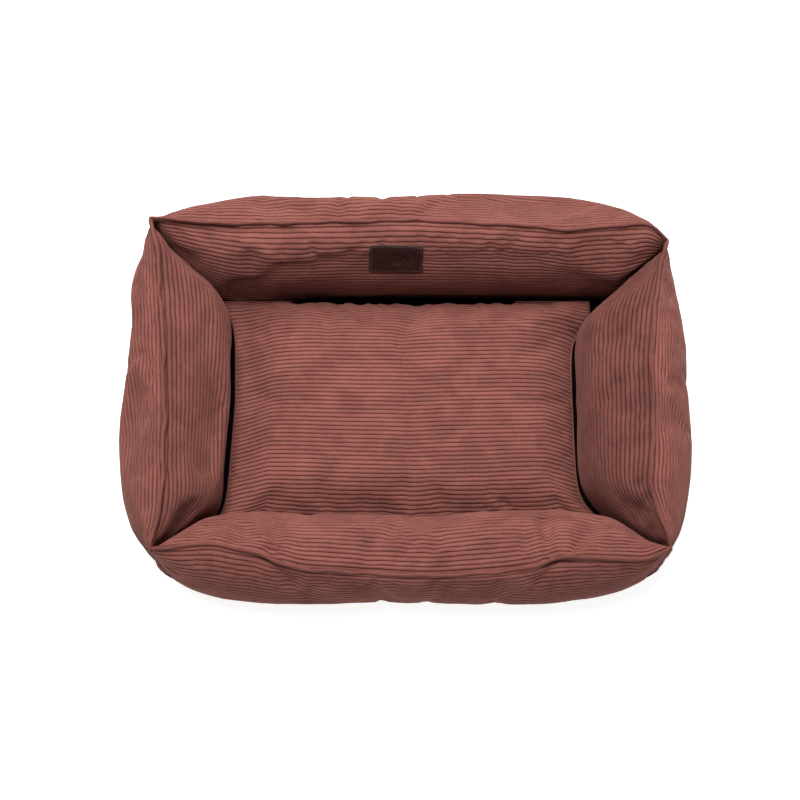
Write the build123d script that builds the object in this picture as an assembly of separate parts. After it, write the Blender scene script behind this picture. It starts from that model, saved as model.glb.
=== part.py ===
"""Rectangular bolster bed for a pet: four stuffed corduroy walls on a cloth base, and a loose seat cushion.

Frame: millimetres, +Z up, X across the bed, +Y towards the back wall, which carries the leather patch.
The origin is on the floor, under the middle of the bed's outer box.

Each wall is a pillow that stands on its edge. It has an inner and an outer cloth panel, sewn together along
a raised rim seam on top, and stuffing between them. Neighbouring walls are sewn together at the corners.
"""

from build123d import *

import math
import os
from dataclasses import dataclass

# ---- driving dimensions ----
BED_WIDTH = 800.0
BED_DEPTH = 600.0
WALL_HEIGHT = 170.0         # rim seam of the side walls above the floor
BACK_HEIGHT = 174.0
FRONT_HEIGHT = 134.0        # the front wall dips so that the animal can step in
OPENING_HALF_X = 243.0      # half the narrowest gap between the side walls
OPENING_BACK_Y = 143.0      # narrowest face of the back wall
OPENING_FRONT_Y = -191.0    # narrowest face of the front wall
BACK_TIP = (366.0, 218.0, 152.0)     # top corner, where the rim seams of two walls meet
FRONT_TIP = (348.0, -242.0, 142.0)

CLOTH = 2.4                 # corduroy with its backing
GAP = 0.3                   # left between soft pieces that lie against each other
TIP_SETBACK = 14.0          # a wall's stuffed part ends this far short of its corner
STEPS = [TIP_SETBACK, 30, 55, 85, 110, 135, 165, 200]    # cross-sections, counted from each corner
BULGE_RUN = 60.0            # how fast a wall swells away from its corner
RIM_RUN = 70.0              # how fast the rim seam leaves its corner
SHOULDER, ANKLE = 0.06, 0.10    # control points of a wall's faces, below its rim and above its foot
LINING_EASE = 1.3           # how much further in a lining's middle control points stand than its ends
FRONT_LIFT = 12.0           # the front rim rises this much before it dips
WELT_HALF, WELT_HEIGHT = 3.2, 3.4

DOT_HEIGHT = 0.8
BASE_THICKNESS = 1.6
BASE_TOP = DOT_HEIGHT + BASE_THICKNESS
WALL_FOOT = BASE_TOP + GAP
BINDING_WIDTH = 6.0         # tape round the base's edge, half in and half out of the wall's foot

SEAT_LENGTH = 536.0         # over its corners
SEAT_DEPTH = 327.0
SEAT_WAIST = 26.0           # how far each short side pulls in between its corners
SEAT_THICKNESS = 64.0
SEAT_CENTRE_Y = (OPENING_BACK_Y + OPENING_FRONT_Y) / 2
SEAT_BOTTOM = WALL_FOOT
SEAT_MIDDLE = SEAT_BOTTOM + SEAT_THICKNESS / 2
SEAT_CORNER = 34.0
SEAT_EDGE = 22.0            # rounding of the cushion's upper and lower edges

PATCH_LENGTH = 76.0
PATCH_HEIGHT = 44.0
PATCH_THICKNESS = 1.8
PATCH_X = -10.0
PATCH_FROM_RIM = 0.145      # where the patch starts, as a share of the inner panel's curve

os.makedirs("parts", exist_ok=True)


def save(shape, node):
    """Writes one node, in its place in the bed."""
    export_step(shape, f"parts/{node}.step")


def soft_min(a, b):
    """The smaller of two lengths, rounded off where they are alike."""
    return (a**-4 + b**-4) ** -0.25


def settle(t, run):
    """0 at a corner, rising to 1 along the wall."""
    return 1 - math.exp(-t / run)


def ease(x):
    x = min(1.0, max(0.0, x))
    return x * x * (3 - 2 * x)


# ---- the shape of a wall ----
@dataclass(frozen=True)
class Wall:
    """A wall in its own terms: s runs along it, n is the distance out from the bed's middle, z is up."""

    name: str
    tips: tuple             # (s, n, z) of its two top corners
    inner: float            # n of its innermost face, half way along
    outer: float            # n of its outermost face
    rim: float              # n of its rim seam
    height: float           # z of its rim seam
    dip: float = 0.0        # how far from the corners the rim stays up before it drops
    turn: tuple = (1, 0)    # which way n points: (x, y)

    def place(self, s, n, z):
        x, y = self.turn
        return Vector(n * x + s * abs(y), n * y + s * abs(x), z)


def walls():
    back_x, back_y, back_z = BACK_TIP
    front_x, front_y, front_z = FRONT_TIP
    side = dict(
        tips=((front_y, front_x, front_z), (back_y, back_x, back_z)),
        inner=OPENING_HALF_X,
        outer=BED_WIDTH / 2,
        rim=330.0,
        height=WALL_HEIGHT,
    )
    return [
        Wall(
            "back",
            tips=((-back_x, back_y, back_z), (back_x, back_y, back_z)),
            inner=OPENING_BACK_Y,
            outer=BED_DEPTH / 2,
            rim=221.0,
            height=BACK_HEIGHT,
            turn=(0, 1),
        ),
        Wall(
            "front",
            tips=((-front_x, -front_y, front_z), (front_x, -front_y, front_z)),
            inner=-OPENING_FRONT_Y,
            outer=BED_DEPTH / 2,
            rim=272.0,
            height=FRONT_HEIGHT,
            dip=85.0,
            turn=(0, -1),
        ),
        Wall("left", turn=(-1, 0), **side),
        Wall("right", turn=(1, 0), **side),
    ]


FOOT_OUT, FOOT_IN = 0.62, 0.72     # how far the foot of each panel follows the bulge above it


@dataclass(frozen=True)
class Station:
    """One cross-section of a wall."""

    s: float
    inner: float
    outer: float
    rim: float
    top: float
    foot_in: float
    foot_out: float


def station(wall, s):
    """The cross-section at s. The nearer corner decides how far the wall has swollen."""
    ends = []
    for tip_s, tip_n, tip_z in wall.tips:
        t = abs(s - tip_s)
        into = soft_min(t, tip_n - wall.inner) - 2 * GAP
        out = (wall.outer - tip_n) * settle(t, BULGE_RUN)
        if wall.dip:
            share = ease((t - wall.dip) / wall.dip)
            drop = tip_z + FRONT_LIFT - wall.height
            top = tip_z + FRONT_LIFT * ease(t / wall.dip) - drop * share
        else:
            share = settle(t, RIM_RUN)
            top = tip_z + (wall.height - tip_z) * share
        ends.append((t, tip_n, into, out, tip_n + (wall.rim - tip_n) * share, top))
    t, tip_n, _, _, rim, top = min(ends)
    inner = max(n - into for _, n, into, _, _, _ in ends)
    outer = min(n + out for _, n, _, out, _, _ in ends)
    return Station(
        s,
        inner,
        outer,
        rim,
        top,
        tip_n - FOOT_IN * (tip_n - inner),
        tip_n + FOOT_OUT * (outer - tip_n),
    )


def stations(wall):
    """Cross-sections, close together near the corners, where the shape changes fast."""
    (low, _, _), (high, _, _) = wall.tips
    ends = [low + d for d in STEPS] + [(low + high) / 2] + [high - d for d in reversed(STEPS)]
    return [station(wall, s) for s in ends]


def control_reach(foot, widest, rim):
    """Where both middle control points stand, for a curve from foot to rim that just touches widest."""
    pick = max if widest > rim else min
    reach = widest
    for _ in range(12):
        touched = pick(
            foot * (1 - u) ** 3 + 3 * reach * u * (1 - u) + rim * u**3
            for u in (i / 40 for i in range(41))
        )
        reach += (widest - touched) * 4 / 3
    return reach


def face_curve(foot, widest, rim, top, inset=0.0):
    """Four control points for one face of a wall, from its foot to its rim. inset moves it into the wall."""
    side = 1 if widest > rim else -1
    reach = control_reach(foot, widest, rim) - side * inset * LINING_EASE
    rise = top - WALL_FOOT
    return [
        (foot - side * inset, WALL_FOOT),
        (reach, WALL_FOOT + ANKLE * rise),
        (reach, top - SHOULDER * rise - inset),
        (rim, top - inset),
    ]


def section(wall, at, rows):
    """A flat face in the plane of station at, closed from its rows of points: 2 points a line, 4 a curve."""
    edges = []
    for row in rows:
        points = [wall.place(at.s, n, z) for n, z in row]
        edges.append(Line(*points) if len(points) == 2 else Bezier(*points))
    return make_face(Wire(edges))


def panel(wall, outside):
    """One cloth panel of a wall, as a shell from its foot to the rim seam."""
    faces = []
    for at in stations(wall):
        foot, widest = (at.foot_out, at.outer) if outside else (at.foot_in, at.inner)
        rim = at.rim + (GAP / 2 if outside else -GAP / 2)
        skin = face_curve(foot, widest, rim, at.top)
        lining = face_curve(foot, widest, rim, at.top, inset=CLOTH)[::-1]
        faces.append(section(wall, at, [skin, [skin[3], lining[0]], lining, [lining[3], skin[0]]]))
    return loft(faces, ruled=True)


def stuffing(wall):
    """The fibre fill between a wall's two panels."""
    faces = []
    inset = CLOTH + GAP
    for at in stations(wall):
        out = face_curve(at.foot_out, at.outer, at.rim + GAP / 2, at.top, inset=inset)
        into = face_curve(at.foot_in, at.inner, at.rim - GAP / 2, at.top, inset=inset)[::-1]
        faces.append(section(wall, at, [out, [out[3], into[0]], into, [into[3], out[0]]]))
    return loft(faces, ruled=True)


def rim_seam(wall):
    """The raised seam on top of a wall, a flat-bottomed welt that covers the join of its panels."""
    faces = []
    for at in stations(wall):
        low = at.top + GAP
        high = low + WELT_HEIGHT * 4 / 3
        hump = [
            (at.rim - WELT_HALF, low),
            (at.rim - WELT_HALF, high),
            (at.rim + WELT_HALF, high),
            (at.rim + WELT_HALF, low),
        ]
        faces.append(section(wall, at, [hump, [hump[3], hump[0]]]))
    return loft(faces, ruled=True)


def corner_seam(x, y, tip_z):
    """The upright seam where the ends of two walls are sewn together."""
    post = TIP_SETBACK - 2 * GAP
    hollow = 0.55               # how far its inner side is drawn towards the bed's middle
    across = math.copysign(post, x)
    along = math.copysign(post, y)
    base = Polyline(
        (x, y),
        (x - across, y),
        (x - across * hollow, y - along * hollow),
        (x, y - along),
        close=True,
    )
    height = tip_z - WALL_FOOT
    return Pos(0, 0, WALL_FOOT) * extrude(make_face(base), height)


# ---- the base ----
def footprint(grow):
    """A flat face bounded by the feet of the four outer panels, grown or shrunk by grow."""
    sides = {wall.name: wall for wall in walls()}
    points = []
    for name, backwards in (("back", False), ("right", True), ("front", True), ("left", False)):
        wall = sides[name]
        (low, low_n, _), (high, high_n, _) = wall.tips
        run = [wall.place(at.s, at.foot_out, 0) for at in stations(wall)]
        run = [wall.place(low, low_n, 0)] + run + [wall.place(high, high_n, 0)]
        points += run[:0:-1] if backwards else run[:-1]
    face = make_face(Polyline(*points, close=True))
    return offset(face, grow, kind=Kind.INTERSECTION)


def base_panel():
    """The non-slip bottom cloth."""
    return Pos(0, 0, DOT_HEIGHT) * extrude(footprint(-BINDING_WIDTH / 2), BASE_THICKNESS)


def base_binding():
    """The folded tape that binds the edge of the bottom cloth to the walls."""
    ring = footprint(BINDING_WIDTH / 2) - footprint(GAP - BINDING_WIDTH / 2)
    return Pos(0, 0, DOT_HEIGHT - GAP) * extrude(ring, BASE_THICKNESS + GAP)


def grip_dots():
    """Rubber dots under the base, in staggered rows."""
    pitch, radius = 72.0, 6.0
    half_x, half_y = 324.0, 216.0
    dots = []
    rows = int(2 * half_y / pitch) + 1
    for row in range(rows):
        y = -half_y + row * pitch
        shift = pitch / 2 if row % 2 else 0.0
        columns = int((2 * half_x - shift) / pitch) + 1
        dots += [
            Pos(-half_x + shift + column * pitch, y, 0)
            * Cylinder(radius, DOT_HEIGHT, align=(Align.CENTER, Align.CENTER, Align.MIN))
            for column in range(columns)
        ]
    return Compound(children=dots)


# ---- the leather patch on the back wall ----
def patch_line(clear, share_from, share_to, count=7):
    """Points just off the back wall's inner face, going down from the rim."""
    back = walls()[0]
    at = station(back, PATCH_X)
    curve = face_curve(at.foot_in, at.inner, at.rim - GAP / 2, at.top)[::-1]
    found = []
    for i in range(count):
        u = share_from + (share_to - share_from) * i / (count - 1)
        weights = [(1 - u) ** 3, 3 * u * (1 - u) ** 2, 3 * u * u * (1 - u), u**3]
        slopes = [-3 * (1 - u) ** 2, 3 * (1 - u) * (1 - 3 * u), 3 * u * (2 - 3 * u), 3 * u * u]
        n, z = (sum(w * p[k] for w, p in zip(weights, curve)) for k in (0, 1))
        dn, dz = (sum(w * p[k] for w, p in zip(slopes, curve)) for k in (0, 1))
        length = math.hypot(dn, dz)
        found.append((n + clear * dz / length, z - clear * dn / length))
    return found


def patch_share():
    """How much of the panel's curve the patch covers."""
    share = 0.3
    for _ in range(20):
        line = patch_line(0, PATCH_FROM_RIM, PATCH_FROM_RIM + share)
        length = sum(math.dist(a, b) for a, b in zip(line, line[1:]))
        share *= PATCH_HEIGHT / length
    return share


def leather_patch():
    low, high = PATCH_FROM_RIM, PATCH_FROM_RIM + patch_share()
    under = patch_line(GAP, low, high)
    over = patch_line(GAP + PATCH_THICKNESS, low, high)[::-1]
    start = PATCH_X - PATCH_LENGTH / 2

    def spot(point):
        return Vector(start, *point)

    edges = [
        Spline(*map(spot, under)),
        Line(spot(under[-1]), spot(over[0])),
        Spline(*map(spot, over)),
        Line(spot(over[-1]), spot(under[0])),
    ]
    return extrude(make_face(Wire(edges)), PATCH_LENGTH, dir=(1, 0, 0))


def patch_stitches():
    """Thread stitches round the edge of the patch."""
    length, width, thickness, margin, pitch = 3.2, 0.8, 0.5, 3.0, 5.2
    share = patch_share()
    off_patch = 0.05
    clear = GAP + PATCH_THICKNESS + thickness / 2 + off_patch
    edge = margin / PATCH_HEIGHT
    low, high = PATCH_FROM_RIM + share * edge, PATCH_FROM_RIM + share * (1 - edge)
    half = PATCH_LENGTH / 2 - margin
    across = int(2 * half / pitch)
    down = int((PATCH_HEIGHT - 2 * margin) / pitch)
    stitches = []
    for u in (low, high):
        (n0, z0), (n, z), (n1, z1) = patch_line(clear, u - 0.01, u + 0.01, count=3)
        tilt = math.degrees(math.atan2(z1 - z0, n1 - n0))
        for i in range(across):
            x = PATCH_X - half + (i + 0.5) * 2 * half / across
            stitches.append(Pos(x, n, z) * Rot(tilt, 0, 0) * Box(length, width, thickness))
    for x in (PATCH_X - half, PATCH_X + half):
        for i in range(down):
            u = low + (high - low) * (i + 0.5) / down
            (n0, z0), (n, z), (n1, z1) = patch_line(clear, u - 0.01, u + 0.01, count=3)
            tilt = math.degrees(math.atan2(z1 - z0, n1 - n0))
            stitches.append(Pos(x, n, z) * Rot(tilt, 0, 0) * Box(width, length, thickness))
    return Compound(children=stitches)


# ---- the seat cushion ----
ZIP_LENGTH = 300.0
ZIP_SLOT = 16.0             # height of the fold that hides the zip, in the cushion's back edge
ZIP_DEPTH = 7.5             # depth of that fold
ZIP_END = 7.0               # the fold runs past each end of the zip
CUT_DEPTH = 60.0            # any cut from the back edge reaches well past it
ZIP_FLOOR_Y = SEAT_CENTRE_Y + SEAT_DEPTH / 2 - ZIP_DEPTH
ZIP_LAYER = 0.1             # left between the zip's own layers
TAPE_THICKNESS = 0.7
COIL_HEIGHT, COIL_THICKNESS = 5.0, 1.5
COIL_OUT = 2 * ZIP_LAYER + TAPE_THICKNESS + COIL_THICKNESS / 2
SLIDER_LENGTH, SLIDER_HEIGHT, SLIDER_THICKNESS = 11.0, 9.0, 0.9
COIL_END = 8.0              # bare tape at each end of the coil
SLIDER_X = ZIP_LENGTH / 2 - COIL_END - SLIDER_LENGTH / 2 - 1
PLATE_OUT = 2 * ZIP_LAYER + TAPE_THICKNESS + COIL_THICKNESS + GAP
HINGE_OUT = PLATE_OUT + SLIDER_THICKNESS + 1.0
PULL_LENGTH, PULL_HEIGHT, PULL_THICKNESS = 20.0, 5.0, 1.1


def seat_plan(grow=0.0):
    """The cushion from above: long sides straight, short sides pulled in between its corners."""
    half_x = SEAT_LENGTH / 2 + grow
    half_y = SEAT_DEPTH / 2 + grow
    waist = half_x - SEAT_WAIST
    edges = [
        Line((-half_x, half_y), (half_x, half_y)),
        ThreePointArc((half_x, half_y), (waist, 0), (half_x, -half_y)),
        Line((half_x, -half_y), (-half_x, -half_y)),
        ThreePointArc((-half_x, -half_y), (-waist, 0), (-half_x, half_y)),
    ]
    plan = make_face(Wire(edges))
    return Pos(0, SEAT_CENTRE_Y, 0) * fillet(plan.vertices(), SEAT_CORNER + grow)


def cushion(inset):
    """The seat cushion's solid, inset from its cover's outer face, with the fold for the zip."""
    body = extrude(seat_plan(-inset), SEAT_THICKNESS - 2 * inset)
    faces = body.faces().sort_by(Axis.Z)
    body = fillet(faces[0].edges() + faces[-1].edges(), SEAT_EDGE - inset)
    fold = Pos(0, ZIP_FLOOR_Y - inset, SEAT_MIDDLE) * Box(
        ZIP_LENGTH + 2 * ZIP_END + 2 * inset,
        CUT_DEPTH,
        ZIP_SLOT + 2 * inset,
        align=(Align.CENTER, Align.MIN, Align.CENTER),
    )
    return Pos(0, 0, SEAT_BOTTOM + inset) * body - fold


def half_space(above):
    """Everything above, or below, the seam half way up the cushion."""
    size = 2 * SEAT_LENGTH
    z = SEAT_MIDDLE + (GAP / 2 if above else -GAP / 2)
    end = Align.MIN if above else Align.MAX
    return Pos(0, 0, z) * Box(size, size, size, align=(Align.CENTER, Align.CENTER, end))


def seat_panel(above):
    return (cushion(0) - cushion(CLOTH)) & half_space(above)


def seat_seam():
    """The cushion's edge seam, a low ridge that stops at each end of the zip."""
    reach, clear, height = 1.4, 0.1, 3.0
    ring = seat_plan(reach) - seat_plan(clear)
    ridge = Pos(0, 0, SEAT_MIDDLE - height / 2) * extrude(ring, height)
    gap = Pos(0, ZIP_FLOOR_Y, SEAT_MIDDLE) * Box(ZIP_LENGTH + 2 * (ZIP_END + 2), CUT_DEPTH, ZIP_SLOT)
    return ridge - gap


def on_zip(out, x, shape):
    """Puts a shape on the zip: out is measured from the bottom of the fold."""
    return Pos(x, ZIP_FLOOR_Y + out, SEAT_MIDDLE) * shape


def zip_tapes():
    """The two woven tapes, one each side of the coil's middle."""
    width = ZIP_SLOT / 2 - 2 * GAP
    tape = Box(ZIP_LENGTH, TAPE_THICKNESS, width)
    out = ZIP_LAYER + TAPE_THICKNESS / 2
    offset = width / 2 + GAP
    return Compound(children=[on_zip(out, 0, Pos(0, 0, side * offset) * tape) for side in (-1, 1)])


def zip_coils():
    """The interlocked coils, one toothed strip on each tape."""
    pitch, tooth, spine_height, overlap = 4.0, 1.5, 1.2, 0.6
    length = ZIP_LENGTH - 2 * COIL_END
    strips = []
    for side in (-1, 1):
        points = [(-length / 2, side * COIL_HEIGHT / 2), (-length / 2, side * spine_height)]
        shift = pitch / 2 if side > 0 else 0.0
        for i in range(int(length / pitch) - 1):
            x = -length / 2 + 1 + shift + i * pitch
            tip = -side * overlap
            points += [(x, side * spine_height), (x, tip), (x + tooth, tip)]
            points += [(x + tooth, side * spine_height)]
        points += [(length / 2, side * spine_height), (length / 2, side * COIL_HEIGHT / 2)]
        face = Plane.XZ * make_face(Polyline(*points, close=True))
        strips.append(extrude(face, COIL_THICKNESS / 2, both=True))
    return Compound(children=[on_zip(COIL_OUT, 0, strip) for strip in strips])


def zip_stops():
    """The metal stops at the two ends of the coil."""
    length = 3.0
    stop = Box(length, COIL_THICKNESS, COIL_HEIGHT)
    reach = ZIP_LENGTH / 2 - COIL_END + length / 2 + 1
    return Compound(children=[on_zip(COIL_OUT, side * reach, stop) for side in (-1, 1)])


def zip_slider():
    """The slider: a plate over the coil with two turned-in lips, and a loop for the pull."""
    outer, inner, width = 3.1, 1.9, 1.6
    off_tape, lip_width, root = 1.2, 1.0, 0.2
    lip = PLATE_OUT - off_tape
    plate = Pos(0, SLIDER_THICKNESS / 2, 0) * Box(SLIDER_LENGTH, SLIDER_THICKNESS, SLIDER_HEIGHT)
    lips = [
        Pos(0, (root - lip) / 2, side * (SLIDER_HEIGHT - lip_width) / 2)
        * Box(SLIDER_LENGTH, lip + root, lip_width)
        for side in (-1, 1)
    ]
    ring = Cylinder(outer, width) - Cylinder(inner, width)
    keep = Box(3 * outer, 3 * outer, 2 * width, align=(Align.CENTER, Align.MIN, Align.CENTER))
    loop = Pos(0, SLIDER_THICKNESS - root, 0) * (ring & keep)
    return on_zip(PLATE_OUT, SLIDER_X, plate.fuse(*lips, loop))


def zip_pull():
    """The pull tab: a bail through the slider's loop and a flat tab."""
    arm, arm_width, bail_length = 6.0, 0.9, 4.4
    bail = Cylinder(PULL_THICKNESS / 2, bail_length)
    arms = [
        Pos(-arm / 2, 0, side * 1.9) * Box(arm + 0.6, PULL_THICKNESS, arm_width) for side in (-1, 1)
    ]
    tab = Pos(-arm, 0, 0) * Box(
        PULL_LENGTH - arm,
        PULL_THICKNESS,
        PULL_HEIGHT,
        align=(Align.MAX, Align.CENTER, Align.CENTER),
    )
    return on_zip(HINGE_OUT, SLIDER_X, bail.fuse(*arms, tab))


def build():
    for wall in walls():
        save(panel(wall, outside=False), f"{wall.name}_inner_panel")
        save(panel(wall, outside=True), f"{wall.name}_outer_panel")
        save(stuffing(wall), f"{wall.name}_stuffing")
        save(rim_seam(wall), f"{wall.name}_rim_seam")
    for side, sign in (("left", -1), ("right", 1)):
        for end, (x, y, z) in (("back", BACK_TIP), ("front", FRONT_TIP)):
            save(corner_seam(sign * x, y, z), f"{end}_{side}_corner_seam")
    save(base_panel(), "base_panel")
    save(base_binding(), "base_binding")
    save(grip_dots(), "grip_dots")
    save(leather_patch(), "leather_patch")
    save(patch_stitches(), "patch_stitches")
    save(seat_panel(above=True), "seat_top_panel")
    save(seat_panel(above=False), "seat_bottom_panel")
    save(cushion(CLOTH + GAP), "seat_stuffing")
    save(seat_seam(), "seat_edge_seam")
    save(zip_tapes(), "zip_tapes")
    save(zip_coils(), "zip_coils")
    save(zip_stops(), "zip_stops")
    save(zip_slider(), "zip_slider")
    save(zip_pull(), "zip_pull")


build()
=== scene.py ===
"""The looks of a corduroy bolster bed for a pet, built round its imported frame.

Metres, +Z up, X across the bed, +Y towards the back wall, which carries the leather patch. Each wall is a
pillow on edge: s runs along it, n is the distance out from the bed's middle, and z is up. The walls and the
seat cushion are inflated as cloth on a coarse grid. Then each panel is resampled finely and gets its ribs.
"""

import math

import bpy
import mathutils
import numpy as np
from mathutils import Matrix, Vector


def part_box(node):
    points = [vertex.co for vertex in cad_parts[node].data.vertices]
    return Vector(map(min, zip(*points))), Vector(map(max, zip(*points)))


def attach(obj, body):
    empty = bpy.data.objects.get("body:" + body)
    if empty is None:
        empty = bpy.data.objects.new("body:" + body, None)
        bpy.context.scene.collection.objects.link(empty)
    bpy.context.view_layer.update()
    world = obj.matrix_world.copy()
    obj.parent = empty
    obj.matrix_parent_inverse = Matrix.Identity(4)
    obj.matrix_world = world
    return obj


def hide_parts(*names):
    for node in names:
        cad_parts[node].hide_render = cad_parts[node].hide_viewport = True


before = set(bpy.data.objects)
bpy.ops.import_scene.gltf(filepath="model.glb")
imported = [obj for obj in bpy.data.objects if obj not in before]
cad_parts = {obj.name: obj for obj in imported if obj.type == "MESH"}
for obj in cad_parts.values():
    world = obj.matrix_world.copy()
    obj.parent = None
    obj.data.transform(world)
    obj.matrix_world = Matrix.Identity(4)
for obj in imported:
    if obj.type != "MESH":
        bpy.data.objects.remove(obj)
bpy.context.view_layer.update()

MM = 0.001

# ---- corduroy ----
RIB_PITCH = 6.3 * MM
RIB_DEPTH = 1.5 * MM
RIB_PHASES = (0.0, 0.09, 0.24, 0.5, 0.76, 0.91)      # rows of vertices across one rib, groove to groove
ALONG_STEP = 5.0 * MM                                # spacing of vertices along the ribs

# ---- cloth simulation ----
COARSE = 9.0 * MM
SIM_FRAMES = 22
SIM_CAP = 14.0 * MM                                  # about the most that any place moves
RIM_HOLD, SEAT_EDGE_HOLD = 0.6, 0.5                  # how firmly the seams are pinned meanwhile
# The panels are cut a little longer than they lie, and the thread draws the seams in.
SIM_SETTINGS = {
    "quality": 6, "mass": 0.25, "tension_stiffness": 22, "compression_stiffness": 22,
    "shear_stiffness": 8, "bending_stiffness": 1.6, "air_damping": 2.0,
    "use_pressure": True, "uniform_pressure_force": 3.0, "vertex_group_mass": "pin",
    "shrink_min": -0.016, "shrink_max": 0.02, "vertex_group_shrink": "gather",
}

# ---- how this bed sits: corners moved from the drawn ones, x, y, z ----
TIP_SHIFTS = {
    "back_left": (3 * MM, 19 * MM, -2 * MM),
    "back_right": (9 * MM, -17 * MM, -2 * MM),
    "front_left": (12 * MM, -4 * MM, 0.0),
    "front_right": (5 * MM, -2 * MM, 0.0),
}

# Rim seams: share of the way from one corner to the other, then outward and upward from the drawn rim.
RIMS = {
    "back": [
        (0.08, 6, -14), (0.16, -4, -6), (0.30, -5, 0), (0.49, 0, 1),
        (0.68, -7, 0), (0.80, -15, -1), (0.94, 0, -8), (0.975, 3, -14),
    ],
    "left": [(0.07, -8, -10), (0.17, -12, 0), (0.41, -8, 1), (0.62, 1, 0), (0.88, 17, -10)],
    "right": [
        (0.11, 3, -15), (0.18, -7, -5), (0.27, 0, 0), (0.44, 6, 0),
        (0.57, 6, 1), (0.78, 19, -6), (0.92, 31, -15),
    ],
    "front": [
        (0.12, -31, 18), (0.215, -16, 18), (0.25, -7, 13), (0.285, 2, 6), (0.42, 6, 0),
        (0.54, 10, -1), (0.67, 5, 0), (0.745, -2, 6), (0.768, -13, 15), (0.80, -13, 15), (0.86, -12, 13),
        (0.95, -8, 9),
    ],
}


# ---- small helpers ----
NOISE_CELLS = 256                   # after which the noise repeats


def ease(x):
    x = np.clip(x, 0.0, 1.0)
    return x * x * (3 - 2 * x)


def soft_min(a, b, power):
    """The smaller of two lengths, rounded off where they are alike."""
    a = np.maximum(a, 0.01 * MM)
    b = np.maximum(b, 0.01 * MM)
    return (a**-power + b**-power) ** (-1 / power)


def settle(t, run):
    """0 at a corner, rising to 1 along the wall."""
    return 1 - np.exp(-np.maximum(t, 0) / run)


def noise(u, v, seed):
    """Smooth noise from -1 to 1, one cell to a unit."""
    size = NOISE_CELLS
    grid = np.random.default_rng(seed).uniform(-1, 1, (size + 1, size + 1))
    iu, iv = np.floor(u).astype(int), np.floor(v).astype(int)
    fu, fv = ease(u - iu), ease(v - iv)
    a = grid[iu % size, iv % size]
    b = grid[(iu + 1) % size, iv % size]
    c = grid[iu % size, (iv + 1) % size]
    d = grid[(iu + 1) % size, (iv + 1) % size]
    return (a * (1 - fu) + b * fu) * (1 - fv) + (c * (1 - fu) + d * fu) * fv


def spline_weights(at, count):
    """A matrix that samples count evenly spaced values at the places in at, by Catmull-Rom splines."""
    at = np.clip(np.asarray(at, float), 0, count - 1)
    cell = np.minimum(at.astype(int), count - 2)
    t = at - cell
    parts = (
        (-1, -0.5 * t + t**2 - 0.5 * t**3),
        (0, 1 - 2.5 * t**2 + 1.5 * t**3),
        (1, 0.5 * t + 2 * t**2 - 1.5 * t**3),
        (2, -0.5 * t**2 + 0.5 * t**3),
    )
    weights = np.zeros((len(at), count))
    rows = np.arange(len(at))
    for shift, w in parts:
        np.add.at(weights, (rows, np.clip(cell + shift, 0, count - 1)), w)
    return weights


def resample(grid, rows, columns):
    """Samples a grid of points at fractional row and column numbers."""
    a = spline_weights(rows, grid.shape[0])
    b = spline_weights(columns, grid.shape[1])
    return np.einsum("ri,ijk,cj->rck", a, grid, b)


def smooth(values, reach):
    """A running mean, done twice, over reach samples to each side."""
    kernel = np.ones(2 * reach + 1) / (2 * reach + 1)
    for _ in range(2):
        values = np.convolve(np.pad(values, reach, mode="edge"), kernel, mode="valid")
    return values


def run_along(points):
    """The distance along a line, at each of its points."""
    return np.concatenate([[0], np.cumsum(np.linalg.norm(np.diff(points, axis=0), axis=1))])


def evenly(line, count):
    """Places evenly spaced along a line: how far along they are, and the points."""
    run = run_along(line)
    even = np.linspace(0, run[-1], count)
    return even, np.stack([np.interp(even, run, way) for way in line.T], axis=-1)


def waver(s, length, seed, row=0.0):
    """Smooth noise along a line, one swing to a length."""
    return noise(s / length, 0 * s + row, seed)


def unit(vectors):
    return vectors / np.maximum(np.linalg.norm(vectors, axis=-1, keepdims=True), 1e-9)


def normals_of(grid):
    du = np.gradient(grid, axis=1)
    dv = np.gradient(grid, axis=0)
    return unit(np.cross(du, dv))


def grid_faces(rows, columns, start=0, closed=False):
    """Quads between neighbouring points of a grid; closed joins the last row to the first."""
    index = np.arange(rows * columns).reshape(rows, columns) + start
    if closed:
        index = np.vstack([index, index[:1]])
    a, b = index[:-1, :-1], index[:-1, 1:]
    c, d = index[1:, 1:], index[1:, :-1]
    return np.stack([a, b, c, d], axis=-1).reshape(-1, 4)


def new_mesh(name, points, faces, uv=None, material=None):
    """A mesh object from points and quads, smooth shaded, with uv given for each point."""
    mesh = bpy.data.meshes.new(name)
    mesh.from_pydata(np.asarray(points).reshape(-1, 3).tolist(), [], np.asarray(faces).tolist())
    if uv is not None:
        layer = mesh.uv_layers.new(name="cloth")
        loops = np.empty(len(mesh.loops), dtype=np.int32)
        mesh.loops.foreach_get("vertex_index", loops)
        layer.data.foreach_set("uv", np.asarray(uv, float).reshape(-1, 2)[loops].ravel())
    mesh.polygons.foreach_set("use_smooth", [True] * len(mesh.polygons))
    mesh.update()
    piece = bpy.data.objects.new(name, mesh)
    bpy.context.scene.collection.objects.link(piece)
    if material:
        mesh.materials.append(material)
    return piece


# ---- the walls, as drawn ----
WELT_HALF, WELT_HEIGHT = 3.2 * MM, 3.4 * MM
BULGE_RUN = 50.0 * MM               # how fast a wall swells away from its corner
FOOT_IN, FOOT_OUT = 0.70, 0.62      # how far the foot of each panel follows the bulge above it
FRONT_CROWN = 153.0 * MM            # the front wall's stuffing stays this high where its rim sags
SWELL = 0.94                        # the walls are drawn this full, and the simulation fills them out
MITRE_GAP = 0.9 * MM                # between neighbouring walls where they press together
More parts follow.
